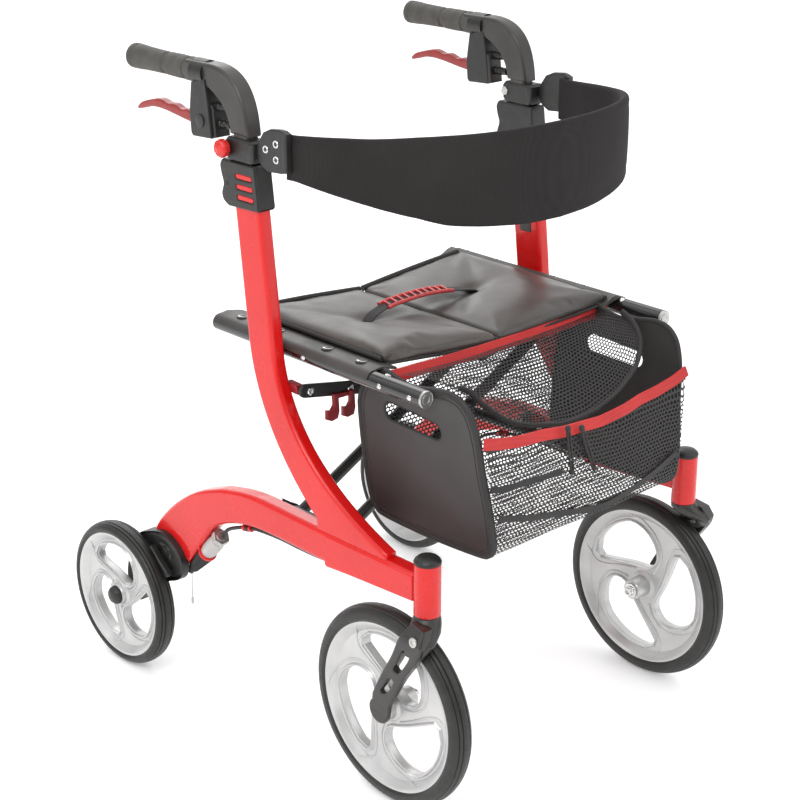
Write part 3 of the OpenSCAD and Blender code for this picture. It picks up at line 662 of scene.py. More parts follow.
def build_shoe():
    pivot = hub_mm("shoe_press_l")
    outline = arc((pivot[1], pivot[2]), 5.5, 130, 250, 6)
    outline += [(WHEELBASE - (REAR_R + 3) * math.cos(math.radians(a)),
                 REAR_R + (REAR_R + 3) * math.sin(math.radians(a))) for a in range(38, 57, 3)]
    outline += [(WHEELBASE - (REAR_R + 6) * math.cos(math.radians(a)),
                 REAR_R + (REAR_R + 6) * math.sin(math.radians(a))) for a in range(56, 43, -3)]
    body = joined(plate(outline, REAR_X - 13, REAR_X - 3, 2.2), tube(
        [(FRAME_OUT - 2, pivot[1], pivot[2]), (REAR_X - 4, pivot[1], pivot[2])], 2.9))
    both("brake_arm", body, BLACK_PLASTIC, "shoe", "black_metal", ["brake_shoe"])


# ---------------------------------------------------------------- casters and wheels
def build_fork():
    outline = [(-78, 262), (-56, 266)] + smooth([(-50, 256), (-42, 242), (-30, 217), (-13, 189),
                                                 (0, 166), (9, 149)], 3)
    outline += arc((0, FRONT_R), 16.5, 50, -170, 18)
    outline += smooth([(-19, 140), (-31, 161), (-46, 187), (-64, 212), (-78, 232), (-82, 246)], 3)
    top = smooth([(-50.5, 230.5), (-56, 230.5), (-60, 225), (-53, 212.5), (-43, 199), (-37, 195),
                  (-31.5, 198), (-39, 210), (-45.5, 223)], 3, True)
    low = smooth([(-22.5, 182.5), (-28, 181), (-28.5, 176), (-19, 161.5), (-10, 155.5), (-6, 158),
                  (-13.5, 169)], 3, True)
    inner = FRONT_X + 17.5

    def shear(points):
        out = []
        for x, y, z in points:
            s = min(max((z - 127) / 115, 0), 1.15)
            bend = 0.55 * max(z - 246, 0)
            out.append((inner + 0.2 * s + (x - inner) * (0.36 + 0.64 * s) - bend, y, z))
        return out

    leg, faces = plate(outline, inner, inner + 15.5, 2.6, [top, low], steps=3)
    both("fork_leg", (shear(leg), faces), FORK_BLACK, "caster", "black_metal", ["caster_fork"])
    crown_rings = []
    for z, x, y, rx, ry in ((268.4, 232.3, -56, 14.6, 14.6), (265, 233, -56.5, 16.6, 16.4),
                            (259, 237, -59, 19, 17.5), (252, 243.5, -63, 19.5, 19),
                            (244, 251, -66, 14.5, 19.5), (235, 256.5, -64, 9, 18), (226, 259, -59, 7, 15)):
        crown_rings.append([(x + rx * math.cos(math.pi * i / 16), y + ry * math.sin(math.pi * i / 16), z)
                            for i in range(32)])
    both("fork_crown", loft(crown_rings), FORK_BLACK, "caster", "black_metal")
    race = lathe([(262, 12), (262, 15.2), (267, 15.6), (268.4, 15), (268.4, 12)], HEAD_AXIS,
                 (0, 0, 1), 40)
    both("crown_race", race, SATIN_BLACK, "caster", "black_metal")
    both("fork_bolt", lathe([(0, 6), (1.6, 6), (2.2, 5.2), (2.2, 3), (1.2, 2.6), (1.2, 0.01)],
                            (inner + 14.4, -69, 249), (1, 0, 0.15)), STEEL, "caster", "steel")
    bolts = joined(
        lathe([(0, 10), (-1.2, 10), (-1.6, 9), (-1.6, 7), (-6, 6.8), (-7.4, 5.8), (-7.4, 3.6), (-5, 3.2),
               (-5, 0.01)], (FRONT_X - 31, 0, FRONT_R)),
        lathe([(0, 5.8), (50, 5.8)], (FRONT_X - 31, 0, FRONT_R)))
    both("fork_bolts", bolts, CHROME, "caster", "steel")


WINDOW = ([(76.3, 16.2), (81.5, 21.5)] + arc((0, 0), 88.5, 19, 72, 10)[1:]
          + bezier((24.3, 84.6), (0, 86), (-22, 64), (-20.3, 45.7), 10)[1:]
          + bezier((-20.3, 45.7), (-18, 33), (-9, 27), (2.3, 26.9), 6)[1:]
          + bezier((2.3, 26.9), (28, 27), (52, 19), (76.3, 16.2), 8)[1:-1])


RIDGES = ([(-16, 22), (-26, 38), (-28, 58), (-17, 77), (2, 91), (24, 98), (44, 96)],
          [(14, 20), (40, 15), (66, 8), (84, 8), (95, 20), (99, 36)])


def turned(points, angle, scale, centre):
    c, s = math.cos(math.radians(angle)), math.sin(math.radians(angle))
    return [(centre[0] + (x * c - y * s) * scale, centre[1] + (x * s + y * c) * scale) for x, y in points]


def build_wheel(name, body, side, letter, x, y, r, seat, hub_in, hub_out, angle, nodes):
    """Tyre with tread grooves, rim band, three swirled spokes with raised edges, and a hub barrel."""
    scale = (seat - 19) / 88.5
    half = 15
    grooved = []
    for a in range(-88, 89, 4):
        t = math.radians(a)
        w = half * math.sin(t)
        h = seat + 2 + (r - seat - 2) * math.cos(t) ** 0.8
        depth = 1.7 if min(abs(abs(w) - g) for g in (0.5, 5.2, 9.6)) < 0.5 else 0
        grooved.append((w, h - depth))
    profile = [(-half + 3, seat - 2)] + grooved + [(half - 3, seat - 2)]
    make(f"{name}_tyre_{letter}", lathe(profile, (x, y, r), (1, 0, 0), 120, ring=True), TYRE, body, side,
         "tyre", [nodes[0]], angle=30)
    band = [(-12.6, seat - 2.5), (-13, seat), (-12.6, seat + 1.4), (-11, seat + 1.8), (-10, seat - 2),
            (10, seat - 2), (11, seat + 1.8), (12.6, seat + 1.4), (13, seat), (12.6, seat - 2.5),
            (10.5, seat - 6), (6, seat - 11), (4.4, seat - 13), (-4.4, seat - 13), (-6, seat - 11),
            (-10.5, seat - 6)]
    rim = lathe(band, (x, y, r), (1, 0, 0), 120, ring=True)
    windows = [turned(WINDOW, angle + 120 * k, scale, (y, r)) for k in range(3)]
    disc = plate(arc((y, r), seat - 12, 0, 356, 89), x - 5, x + 5, 1, windows)
    ridges = []
    face = [(seat - 13, 4.8), (seat - 6, 10.6), (seat, 11.4)]
    for k in range(3):
        for line in RIDGES:
            flat = turned(smooth(line, 3), angle + 120 * k, scale, (0, 0))
            for sx in (-1, 1):
                path = [(x + sx * table_value(face, math.hypot(u, v)), y + u, r + v) for u, v in flat]
                ridges.append(tube(path, [1.9 - 1.1 * i / (len(path) - 1) for i in range(len(path))], 8))
    for window in windows:
        count = len(window)
        for sx in (-1, 1):
            ring_in = shrunk(window, -0.6)
            ring_out = inset(ring_in, -4.4)
            ring_mid = inset(ring_in, -2.2)
            ring_lip = inset(ring_in, -0.8)
            rings = [[(x + sx * 3.6, *p) for p in ring_in], [(x + sx * 7.4, *p) for p in ring_lip],
                     [(x + sx * 7.8, *p) for p in ring_mid], [(x + sx * 4.2, *p) for p in ring_out]]
            points = [p for ring in rings for p in ring]
            faces = [(k * count + i, k * count + (i + 1) % count, (k + 1) * count + (i + 1) % count,
                      (k + 1) * count + i) for k in range(3) for i in range(count)]
            faces += [(3 * count + i, 3 * count + (i + 1) % count, (i + 1) % count, i) for i in range(count)]
            ridges.append((points, faces))
    hub = lathe([(-hub_in, 6), (-hub_in, 12.6), (1 - hub_in, 13.5), (-8, 14.5), (-5.5, 20), (5.5, 20),
                 (8, 16), (hub_out - 1, 15), (hub_out, 14), (hub_out, 6)], (x, y, r), (1, 0, 0), 48)
    make(f"{name}_rim_{letter}", joined(rim, disc, hub, *ridges), RIM, body, side, "rim_grey", [nodes[1]],
         angle=32)


def build_wheels():
    turn = {"r": 43, "l": 0}
    for s, g in SIDES:
        build_wheel("front", f"front_wheel_{s}", g, s, FRONT_X, 0, FRONT_R, 108, 30, 16, turn[s],
                    (f"front_tyre_{s}", f"front_rim_{s}"))
        build_wheel("rear", f"rear_wheel_{s}", g, s, REAR_X, WHEELBASE, REAR_R, 88.6, 13, 13, 25,
                    (f"rear_tyre_{s}", f"rear_rim_{s}"))
        cap = [(8, 13), (14, 13), (18, 12), (21, 9.6), (22.5, 6), (23, 0.01)]
        make(f"hub_cap_{s}", lathe(cap, (REAR_X, WHEELBASE, REAR_R)), BLACK_PLASTIC, f"rear_wheel_{s}", g,
             "black_plastic")


# ---------------------------------------------------------------- handles
def build_handle():
    outer = bezier((235.5, 776), (240, 832), (266, GRIP_Z + 13.5), (308, GRIP_Z + 13.5), 18)
    inner = bezier((317, GRIP_Z - 13), (292, GRIP_Z - 21), (272, 805), (269, 776), 14)
    outline = outer + [(352, GRIP_Z + 12.5), (352, GRIP_Z - 12.5)] + inner
    arch = plate(outline, FRAME_X - 11.5, FRAME_X + 11.5, 4, steps=4)
    rings = []
    for z in (575, 576, 690, 774, 782):
        grow = 0.9 if z == 575 else 1
        y = 252 + (z - 773) * math.tan(POST_LEAN)
        rings.append([(FRAME_X + grow * u, y + grow * v, z) for u, v in rounded_ring(19.6, 28, 6)])
    both("handle_arch", joined(arch, loft(rings)), GRAPHITE, "handle", "graphite", ["handle_tube"])


def build_grip():
    r = 13.5
    profile = [(-1, 11), (-0.5, r + 0.6), (1, r + 1), (12, r + 0.9), (13, r + 0.2), (14, r - 0.8),
               (15.4, r - 0.8), (16.4, r + 0.4), (30, r + 0.8), (52, r + 0.4), (54, r - 0.6), (55, r - 1.8),
               (57, r - 1.8), (58, r - 0.6), (60, r + 0.2), (82, r + 0.5), (97, r + 0.8), (106, r + 1.4),
               (114, r + 1.7), (116, r + 0.9), (117.5, r + 1.9), (124, r + 1.7), (126, r), (126.6, r - 4),
               (126.4, 0.01)]
    both("grip", lathe(profile, (FRAME_X, 340, GRIP_Z), (0, 1, 0), 48), GRIP, "handle", "grip_rubber",
         ["hand_grip"])


def build_brake_body():
    outline = [(338, GRIP_Z - 12), (341, 806), (343, 790), (341, 766), (338, 762), (303, 764), (301, 767),
               (306, 806), (312, GRIP_Z - 8), (318, GRIP_Z - 5)]
    body = plate(outline, FRAME_X - 13, FRAME_X + 13, 1.8, steps=3)
    ridge = tube([(FRAME_X + 12.4, 302.6, 766), (FRAME_X + 12.4, 307.4, 806),
                  (FRAME_X + 12.4, 312.6, GRIP_Z - 6)], 1.2, 10)
    flange = plate([(296, 766), (304, 765), (309, 806), (300, 800)], FRAME_X - 12, FRAME_X + 10, 1.6)
    sleeve = lathe([(0, 13), (0, 15.2), (24, 15.2), (26, 14)], (FRAME_X, 316, GRIP_Z), (0, 1, 0), 40)
    both("brake_housing", joined(body, ridge, flange, sleeve), BLACK_PLASTIC, "handle", "black_plastic",
         ["brake_body"])
    disc = lathe([(0, 8), (1.6, 8), (2.2, 7.2), (2.2, 0.01)], (FRAME_X + 12.6, LEVER[1], LEVER[2]),
                 (1, 0, 0), 32)
    both("pivot_disc", disc, SATIN_BLACK, "handle", "black_metal")
    barrels = []
    for y0, z, length in ((304, 801, 22), (302, 781, 24)):
        barrels.append(lathe([(0, 5.6), (6, 5.6), (7, 4.6), (8, 5.4), (14, 5.4), (15, 4.4), (16, 5),
                              (length, 5), (length + 1, 3)], (FRAME_X, y0, z), (0, -1, 0.06), 20))
    both("cable_barrels", joined(*barrels), SATIN_BLACK, "handle", "black_metal")
    tip = tube([(FRAME_X, 280, 782.5), (FRAME_X, 273, 784), (FRAME_X, 268, 788)], 2, 10)
    both("cable_tip", tip, STEEL, "handle", "steel")


def build_lever():
    upper = smooth([(332, 791), (345, 788), (358, 790), (370, 788), (384, 792), (397, 791), (412, 794),
                    (430, 790.5), (448, 785), (455, 780.5)], 3)
    lower = [(458, 777.5), (456, 774.5), (446, 777)]
    lower += bezier((430, 781.5), (400, 786), (365, 774), (334, 775), 14)
    blade = plate(upper + lower, FRAME_X - 6.5, FRAME_X + 6.5, 2.6, steps=3)
    boss = lathe([(-7, 6.4), (-6.4, 7.4), (6.4, 7.4), (7, 6.4)], (FRAME_X, LEVER[1], LEVER[2]), (1, 0, 0), 28)
    neck = plate([(318, 778), (336, 774), (336, 791), (320, 789)], FRAME_X - 6, FRAME_X + 6, 1.6)
    both("lever", joined(blade, boss, neck), LEVER_RED, "lever", "lever_red", ["brake_lever"])


def build_knob():
    x = FRAME_OUT + 2.2
    profile = [(0, 6), (0.6, 8), (2, 9.4), (4, 10.6), (9, 10.8), (11.6, 9.8), (13, 7.8), (13.2, 7.2),
               (12.6, 6.6), (13.4, 5), (14, 0.01)]
    both("knob", lathe(profile, (x, KNOB[1], KNOB[2]), (1, 0, 0), 60, 10, 0.035), PLASTIC_RED, "knob",
         "red_plastic", ["clamp_knob"])
    both("knob_bolt", lathe([(0, 4), (30, 4)], (FRAME_IN, KNOB[1], KNOB[2]), (1, 0, 0), 20), STEEL, "knob",
         "steel")


# ---------------------------------------------------------------- fold mechanism
def build_rails():
    for s, g in SIDES:
        body = "brace_a" if s == "l" else "brace_b"
        repaint(f"seat_rail_{s}", RAIL_BLACK, 0.0006)
        disc = joined(lathe([(0, 10.3), (-1, 10.5), (-2.4, 10.4), (-3, 9.6), (-2.4, 8.8), (-2.5, 0.01)],
                            (RAIL_X, -25, RAIL_Z), (0, 1, 0), 36),
                      lathe([(-2, 6), (-3, 5.8), (-3.1, 4.6), (-2.6, 4.4)], (RAIL_X, -25, RAIL_Z),
                            (0, 1, 0), 28))
        make(f"rail_cap_{s}", disc, STEEL, body, g, "anchor_grey")
        rivets = [lathe([(-1, 3.4), (0.6, 3.4), (1.6, 2.4), (2, 0.01)], (RAIL_X + 10.2, y, RAIL_Z),
                        (1, 0, 0), 20)
                  for y in (-10, 40, 173)]
        rivets.append(lathe([(-1, 4), (0.6, 4), (1.6, 2.6), (2, 0.01)], (RAIL_X - 4, 40, RAIL_Z + 9.6),
                            (-0.4, 0, 1), 20))
        make(f"rail_rivets_{s}", joined(*rivets), CHROME, body, g, "steel")


def build_brace():
    for s in "rl":
        repaint(f"cross_bars_{s}", SATIN_BLACK)
        repaint(f"cross_bracket_{s}", SATIN_BLACK, 0.0005)
    repaint("cross_bolt", STEEL)


def build_links():
    start, end = Vector((LINK_X, LINK_Z)), Vector((77, 449.3))
    direction = (end - start).normalized()
    half = 8.6
    base = math.degrees(math.atan2(direction.y, direction.x))
    ring = arc(tuple(start - direction * 5), half, base + 90, base + 270, 8)
    ring += arc(tuple(end - direction * 2), half, base - 90, base + 90, 8)
    y0 = hub_mm("link_turn_l")[1] - 2.5

    def front_plate(points, low, high, r):
        """A front view in (X, Z), made thick along Y."""
        solid, faces = plate([(x, z) for x, z in points], low, high, r)
        return [(x, y, z) for y, x, z in solid], faces

    strip = front_plate(ring, y0, y0 + 5, 1.1)
    for s, g in SIDES:
        make(f"link_strip_{s}", strip, SATIN_BLACK, f"link_{s}", g, "black_metal", [f"stabilizer_link_{s}"])
        screws = [lathe([(0, 5), (-1, 5), (-1.8, 4), (-1.8, 2.2), (-1, 2), (-1, 0.01)],
                        (x, y0, start.y + (x - start.x) * direction.y / direction.x), (0, 1, 0), 20)
                  for x in (LINK_X - 2, 151, 84)]
        make(f"link_screws_{s}", joined(*screws), CHROME, f"link_{s}", g, "steel")
    hooks = []
    for flip in (0, 1):
        shape = [(160, 463), (167, 463), (167, 449), (171, 443.5), (178.5, 445), (178.5, 433), (171, 429.5),
                 (161, 431), (158.5, 440)]
        shape = [(x + 15 - 26 * flip, z + 1.5 - 1.5 * flip) for x, z in shape]
        hooks.append(front_plate(shape, y0 - 6, y0 - 0.2, 1.2))
    hooks.append(front_plate([(150, 456), (182, 457), (182, 464), (150, 461)], y0 - 3, y0 - 0.1, 0.8))
    make("bag_hooks", joined(*hooks), HOOK_RED_AND_EAR_SHADE, "link_r", -1, "red_plastic", ["fold_hook"])


build_beam()
build_upright()
build_head()
build_collar()
build_clamp()
build_plate()
build_housing()
build_cable()
build_shoe()
build_fork()
build_wheels()
build_handle()
build_grip()
build_brake_body()
build_lever()
build_knob()
build_rails()
build_brace()
build_links()


# ---------------------------------------------------------------- seat
SEAT_FRONT, SEAT_BACK = 61, 312
SEAT_SKEW = 0.07
SEAM_TOP, RAIL_TOP = 526, 541
# The pads' underside rises from the seam to the rail, by PAD_RISE over PAD_REACH.
PAD_LOW, PAD_RISE, PAD_REACH = 510, 15, 186
STRAP_Y = 197


def puffed(piece, voxel, pressure, cap, pinned, frames=20):
    """Pressure makes the pad swell between its pinned points, as foam does under a stretched cover."""
    bpy.context.view_layer.objects.active = piece
    remesh = piece.modifiers.new("remesh", "REMESH")
    remesh.mode = "VOXEL"
    remesh.voxel_size = voxel
    depsgraph = bpy.context.evaluated_depsgraph_get()
    mesh = bpy.data.meshes.new_from_object(piece.evaluated_get(depsgraph))
    piece.modifiers.clear()
    piece.data = mesh
    rest = [v.co.copy() for v in mesh.vertices]
    group = piece.vertex_groups.new(name="pinned")
    group.add([v.index for v in mesh.vertices if pinned(v.co * 1000 - Vector((0, AXLE_Y, 0)))], 1.0,
              "REPLACE")
    cloth = piece.modifiers.new("cloth", "CLOTH")
    cloth.settings.quality = 6
    cloth.settings.mass = 0.4
    cloth.settings.tension_stiffness = 20
    cloth.settings.compression_stiffness = 6
    cloth.settings.bending_stiffness = 2
    cloth.settings.use_pressure = True
    cloth.settings.uniform_pressure_force = pressure
    cloth.settings.vertex_group_mass = "pinned"
    cloth.settings.effector_weights.gravity = 0
    scene = bpy.context.scene
    scene.frame_start, scene.frame_end = 1, frames
    for number in range(1, frames + 1):
        scene.frame_set(number)
    depsgraph = bpy.context.evaluated_depsgraph_get()
    swollen = bpy.data.meshes.new_from_object(piece.evaluated_get(depsgraph))
    piece.modifiers.clear()
    piece.data = swollen
    for vertex, start in zip(swollen.vertices, rest):
        move = vertex.co - start
        if move.length > cap:
            vertex.co = start + move * (cap / move.length)
    scene.frame_set(1)


def seat_front(x, g):
    """The cover sits a little askew: its front edge runs back towards the right rail."""
    return SEAT_FRONT - SEAT_SKEW * g * x


def pad_solid(g):
    """Half a seat pad: boxy, thicker at the rail, with its edges pulled in at top and bottom."""
    outer, inner_edge = 182 + 2 * g, 1.5
    outline = [(outer, seat_front(outer, g)), (outer, SEAT_BACK), (inner_edge, SEAT_BACK),
               (inner_edge, seat_front(inner_edge, g))]
    rings = []
    levels = [(0.0, 3.2), (0.12, 1.2), (0.3, 0.0), (0.72, 0.0), (0.9, 1.0), (1.0, 3.6)]
    n = 24
    for share, pull in levels:
        ring = []
        for a, b in zip(outline, outline[1:] + outline[:1]):
            for i in range(n):
                t = i / n
                x, y = a[0] + (b[0] - a[0]) * t, a[1] + (b[1] - a[1]) * t
                cx = inner_edge + pull if x < 90 and x < inner_edge + pull else min(x, outer - pull)
                cy = min(max(y, seat_front(x, g) + pull), SEAT_BACK - pull)
                h = cx / outer
                low = PAD_LOW + PAD_RISE * h
                high = SEAM_TOP - 1.5 + (RAIL_TOP - SEAM_TOP) * h
                ring.append((cx, cy, low + (high - low) * share))
        rings.append(ring)
    return loft(rings)


def seat_pin(point):
    """Points that the stitching and the strap's slot hold down."""
    x, y, z = abs(point.x), point.y, point.z
    near_slot = math.hypot((x - 92) / 1.6, y - STRAP_Y) < 9
    return x < 3.5 or near_slot or z < PAD_LOW + PAD_RISE * x / PAD_REACH + 3


def build_seat():
    for s, g in SIDES:
        body = f"seat_half_{s}"
        pad = make(f"seat_cushion_{s}", pad_solid(g), VINYL, None, g, weighted=False)
        puffed(pad, 0.005, 3.5, 0.007, seat_pin)
        for vertex in pad.data.vertices:
            x, y = abs(vertex.co.x) * 1000, vertex.co.y * 1000 - AXLE_Y
            z = vertex.co.z * 1000
            if z > PAD_LOW + 4 + PAD_RISE * x / PAD_REACH + 4:
                slot = math.hypot((x - 90) / 1.7, y - STRAP_Y) / 12
                dip = 6.5 * math.exp(-slot * slot)
                tug = 2.6 * math.exp(-((y - STRAP_Y + 0.1 * x) / 14) ** 2) * max(0, 1 - abs(x - 45) / 60)
                wrinkle = 0.8 * noise.noise(Vector((x / 50, y / 34, g))) * (1 - min(1, abs(x - 93) / 93))
                vertex.co.z -= (dip + tug - wrinkle) / 1000
        pad.data.shade_smooth()
        pad.data.materials.clear()
        pad.data.materials.append(VINYL)
        subdivision = pad.modifiers.new("subdivision", "SUBSURF")
        subdivision.levels = subdivision.render_levels = 1
        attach(pad, body)
        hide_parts(f"seat_pad_{s}")
        build_sleeve(s, g, body)
        build_piping(s, g, body)


def build_sleeve(s, g, body):
    """The cover's flat margin and the sleeve that wraps the seat rail, fixed by four button screws."""
    rings = []
    steps = 40
    for i in range(steps + 1):
        y = 52 - 8 * g + (292 + 8 * g) * i / steps
        wave = 0.5 * noise.noise(Vector((y / 30, 2.0 * g, 0)))
        rise = 3 if g > 0 else 0
        profile = [(172, 525), (180, 527.5 + wave), (190, 529.5 + wave + rise), (198, 531 + rise)]
        profile += [(RAIL_X + 12 * math.cos(math.radians(a)), RAIL_Z + 12 * math.sin(math.radians(a)))
                    for a in range(96, 11, -12)]
        profile += [(RAIL_X + 10.7 * math.cos(math.radians(a)), RAIL_Z + 10.7 * math.sin(math.radians(a)))
                    for a in range(12, 97, 12)]
        profile += [(198, 528.2), (188, 526), (172, 522)]
        rings.append([(x, y, z) for x, z in profile])
    sleeve = make(f"seat_sleeve_{s}", loft(rings), SLEEVE, body, g, "seat_fabric", angle=50)
    screws = []
    places = (310, 239, 150, 90) if g < 0 else (318, 262, 157, 104)
    for y in places:
        screws.append(lathe([(-1, 8.2), (0.4, 8.2), (1.6, 6.4), (2.4, 3.2), (2.2, 0.01)],
                            (RAIL_X - 9, y, 530.4), (-0.12, 0, 1), 24))
    make(f"seat_screws_{s}", joined(*screws), SATIN_BLACK, body, g, "black_metal")
    rings = [lathe([(0.6, 6.6), (1.5, 6.6), (1.9, 5.6), (1.5, 5.2), (0.6, 5.2)], (RAIL_X - 9, y, 530.4),
                   (-0.12, 0, 1), 24) for y in places]
    make(f"seat_screw_rings_{s}", joined(*rings), CHROME, body, g, "steel")


def build_piping(s, g, body):
    """Binding along the pad's back, front and outer edges."""
    top = [(3, SEAT_BACK + 0.5, SEAM_TOP - 3), (90, SEAT_BACK + 0.5, 531),
           (178, SEAT_BACK + 0.5, RAIL_TOP - 4)]
    low = [(x, seat_front(x, g) - 0.3, 511.3 + 0.083 * x) for x in (3, 90, 178)]
    outer = 183 + 2 * g
    side = [(outer, y, 532) for y in (seat_front(outer, g) + 3, 120, 200, SEAT_BACK - 3)]
    pipes = joined(tube(smooth(top, 8), 4.2, 10), tube(smooth(low, 8), 1.8, 8), tube(side, 3, 8))
    make(f"seat_piping_{s}", pipes, BINDING, body, g, "seat_fabric")


def build_seam():
    """The cover runs on between the pads as a narrow folded seam."""
    path = [(0, y, 516) for y in (SEAT_FRONT + 1, 150, 230, SEAT_BACK - 1)]
    seam = make("seat_seam", tube(path, 3.4, 10), BINDING, None)
    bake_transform(seam)


def build_strap():
    """Lift strap: black webbing ends that dive into slots in the pads, and a red ladder grip between them."""
    y = STRAP_Y
    half = 11

    def ribbon(points, w, t):
        rings = []
        for x, z in points:
            rings.append([(x, y - w, z), (x, y - w + 0.8, z + t), (x, y + w - 0.8, z + t), (x, y + w, z),
                          (x, y + w - 0.8, z - 0.4), (x, y - w + 0.8, z - 0.4)])
        return loft(rings)

    spine = smooth([(-99, 523), (-92, 530), (-82, 536), (-60, 542), (-30, 544), (0, 544), (30, 541.5),
                    (60, 536.5), (82, 532), (92, 529), (99, 523)], 4)
    black = make("strap_webbing", ribbon(spine, half - 2.5, 1.2), BINDING, None)
    rails, bars = [], []
    inner = [p for p in spine if -67 < p[0] < 47]
    for offset in (-half + 1.5, half - 1.5):
        rails.append(tube([(x, y + offset, z + 1.4) for x, z in inner], 2.5, 10))
    for k in range(-5, 5):
        x = 11 * k - 5
        z = min(inner, key=lambda p: abs(p[0] - x))[1]
        bars.append(tube([(x - 2.5, y - half + 2, z + 2.2), (x, y, z + 2.6),
                          (x + 2.5, y + half - 2, z + 2.2)], 1.7, 8))
    grip = make("strap_grip", joined(*rails, *bars), LADDER_RED, None)
    for piece in (black, grip):
        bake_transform(piece)
    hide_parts("seat_strap")


# ---------------------------------------------------------------- backrest
BAND_PATH = [(233, 180), (231, 166), (226, 130), (218, 98), (208, 68), (196, 45), (178, 22), (152, 0),
             (122, -15), (90, -25), (50, -32), (0, -35)]
BAND_LOW = [(-36, 690), (-25, 695), (-15, 698), (0, 702), (22, 710.5), (45, 716), (68, 720.5), (98, 725),
            (130, 729.5), (168, 735)]
BAND_HIGH = [(-36, 804.5), (0, 804), (22, 802.5), (45, 800), (68, 797.5), (98, 795), (130, 792), (168, 789)]


def build_backrest():
    z_steps, ends = 14, 6
    half = smooth(BAND_PATH, 5)
    path = [(-x, y) for x, y in half[:-1]] + half[::-1]
    rings = []
    for i, (x, y) in enumerate(path):
        a, b = Vector(path[max(i - 1, 0)]), Vector(path[min(i + 1, len(path) - 1)])
        along = (b - a).normalized()
        inward = Vector((-along.y, along.x))
        if inward.dot(Vector((0, 100)) - Vector((x, y))) < 0:
            inward = -inward
        low, high = table_value(BAND_LOW, y), table_value(BAND_HIGH, y)
        thick = 5 + 6 * min(1, max(0, (168 - y) / 40))
        ring = []
        r = thick / 2
        for k in range(z_steps + 1):
            t = k / z_steps
            puff = 0.8 * math.sin(math.pi * t)
            hem = 0.7 * (math.exp(-((t - 0.06) / 0.02) ** 2) + math.exp(-((t - 0.94) / 0.02) ** 2))
            p = Vector((x, y)) - inward * (puff - hem)
            ring.append((p.x, p.y, low + r + (high - low - 2 * r) * t))
        for k in range(1, ends):
            a = math.pi * k / ends
            p = Vector((x, y)) + inward * (r - r * math.cos(a))
            ring.append((p.x, p.y, high - r + r * math.sin(a)))
        for k in range(z_steps + 1):
            t = 1 - k / z_steps
            p = Vector((x, y)) + inward * (thick + 0.5 * math.sin(math.pi * t))
            ring.append((p.x, p.y, low + r + (high - low - 2 * r) * t))
        for k in range(1, ends):
            a = math.pi * k / ends
            p = Vector((x, y)) + inward * (r + r * math.cos(a))
            ring.append((p.x, p.y, low + r - r * math.sin(a)))
        rings.append(ring)
    band = make("backrest_band", loft(rings), BAND, None, angle=60, weighted=False)
    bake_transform(band)
    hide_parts("backrest_r", "backrest_l")


# ---------------------------------------------------------------- bag
LEAN_FROM = 530
PANEL_LEANS = {"r": (194, 0.1), "l": (172, 0.14)}


def panel_x(z, side):
    """The side panels hang from the rails and lean in towards the floor, the left one more."""
    top, slope = PANEL_LEANS[side]
    return top - slope * (LEAN_FROM - z)


def build_panels():
    outline = smooth([(57, 529), (30, 523), (11, 521), (-22, 527), (-44, 530), (-64, 527), (-79, 516),
                      (-88, 499), (-94, 475), (-98, 440), (-105, 400), (-109, 360), (-107, 345), (-98, 335),
                      (-80, 330), (0, 326), (78, 328), (94, 335), (101, 346), (106, 370), (109, 410),
                      (110, 450), (108, 480), (96, 503), (78, 520)], 4, True)
    slot = arc((50, 476.5), 12.5, -80, 100, 8) + arc((-22, 473), 11.5, 100, 280, 8)
    points, faces = plate(outline, -2.2, 1.8, 1.4, [slot])
    for s, g in SIDES:
        b = f"bag_side_{s}"
        body = [(x + panel_x(z, s), y, z) for x, y, z in points]
        make(f"bag_side_{s}", (body, faces), BAG_SIDE, b, g, "bag_fabric", [f"bag_panel_{s}"])
        edge = [(panel_x(z, s), y, z) for y, z in shrunk(outline, 3.4)]
        edge.append(edge[0])
        rim = [(panel_x(z, s) + 0.3, y, z) for y, z in slot + slot[:1]]
        make(f"bag_side_binding_{s}", joined(tube(edge, 4.2, 12, 0.8), tube(rim, 1.7, 8)), BINDING, b, g,
             "bag_fabric")
        stitch = [(panel_x(z, s) + 1.7, y, z) for y, z in shrunk(outline, 11)]
        stitch.append(stitch[0])
        make(f"bag_side_seam_{s}", tube(stitch, 0.7, 6), BINDING, b, g, "bag_fabric")


def uv_sheet(name, rows, material):
    """A sheet through rows of points, with a UV map in metres measured along the sheet."""
    solid = loft(rows, False)
    piece = make(name, solid, material, None, closed=False, angle=60, weighted=False)
    layer = piece.data.uv_layers.new(name="UVMap")
    n = len(rows[0])
    across = [[0.0] for _ in rows]
    for r, row in enumerate(rows):
        for a, b in zip(row, row[1:]):
            across[r].append(across[r][-1] + (Vector(b) - Vector(a)).length / 1000)
    down = [[0.0] * n]
    for above, row in zip(rows, rows[1:]):
        steps = [(Vector(b) - Vector(a)).length / 1000 for a, b in zip(above, row)]
        down.append([d + step for d, step in zip(down[-1], steps)])
    index = {}
    for r, row in enumerate(rows):
        for i, p in enumerate(row):
            index[tuple(round(c, 5) for c in at(*p))] = (across[r][i], down[r][n // 2])
    for loop in piece.data.loops:
        key = tuple(round(c, 5) for c in piece.data.vertices[loop.vertex_index].co)
        layer.data[loop.index].uv = index.get(key, (0, 0))
    return piece


def bag_piece(piece):
    """A soft piece of the bag gets a mesh of its own and rides the bag's right side."""
    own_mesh(piece)
    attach(piece, "bag_side_r")


FRONT_HEM = [(-190, 480), (-160, 473), (-132, 468), (-91, 464), (-55, 458), (5, 455), (50, 459), (77, 464),
             (110, 466), (142, 471), (170, 480)]


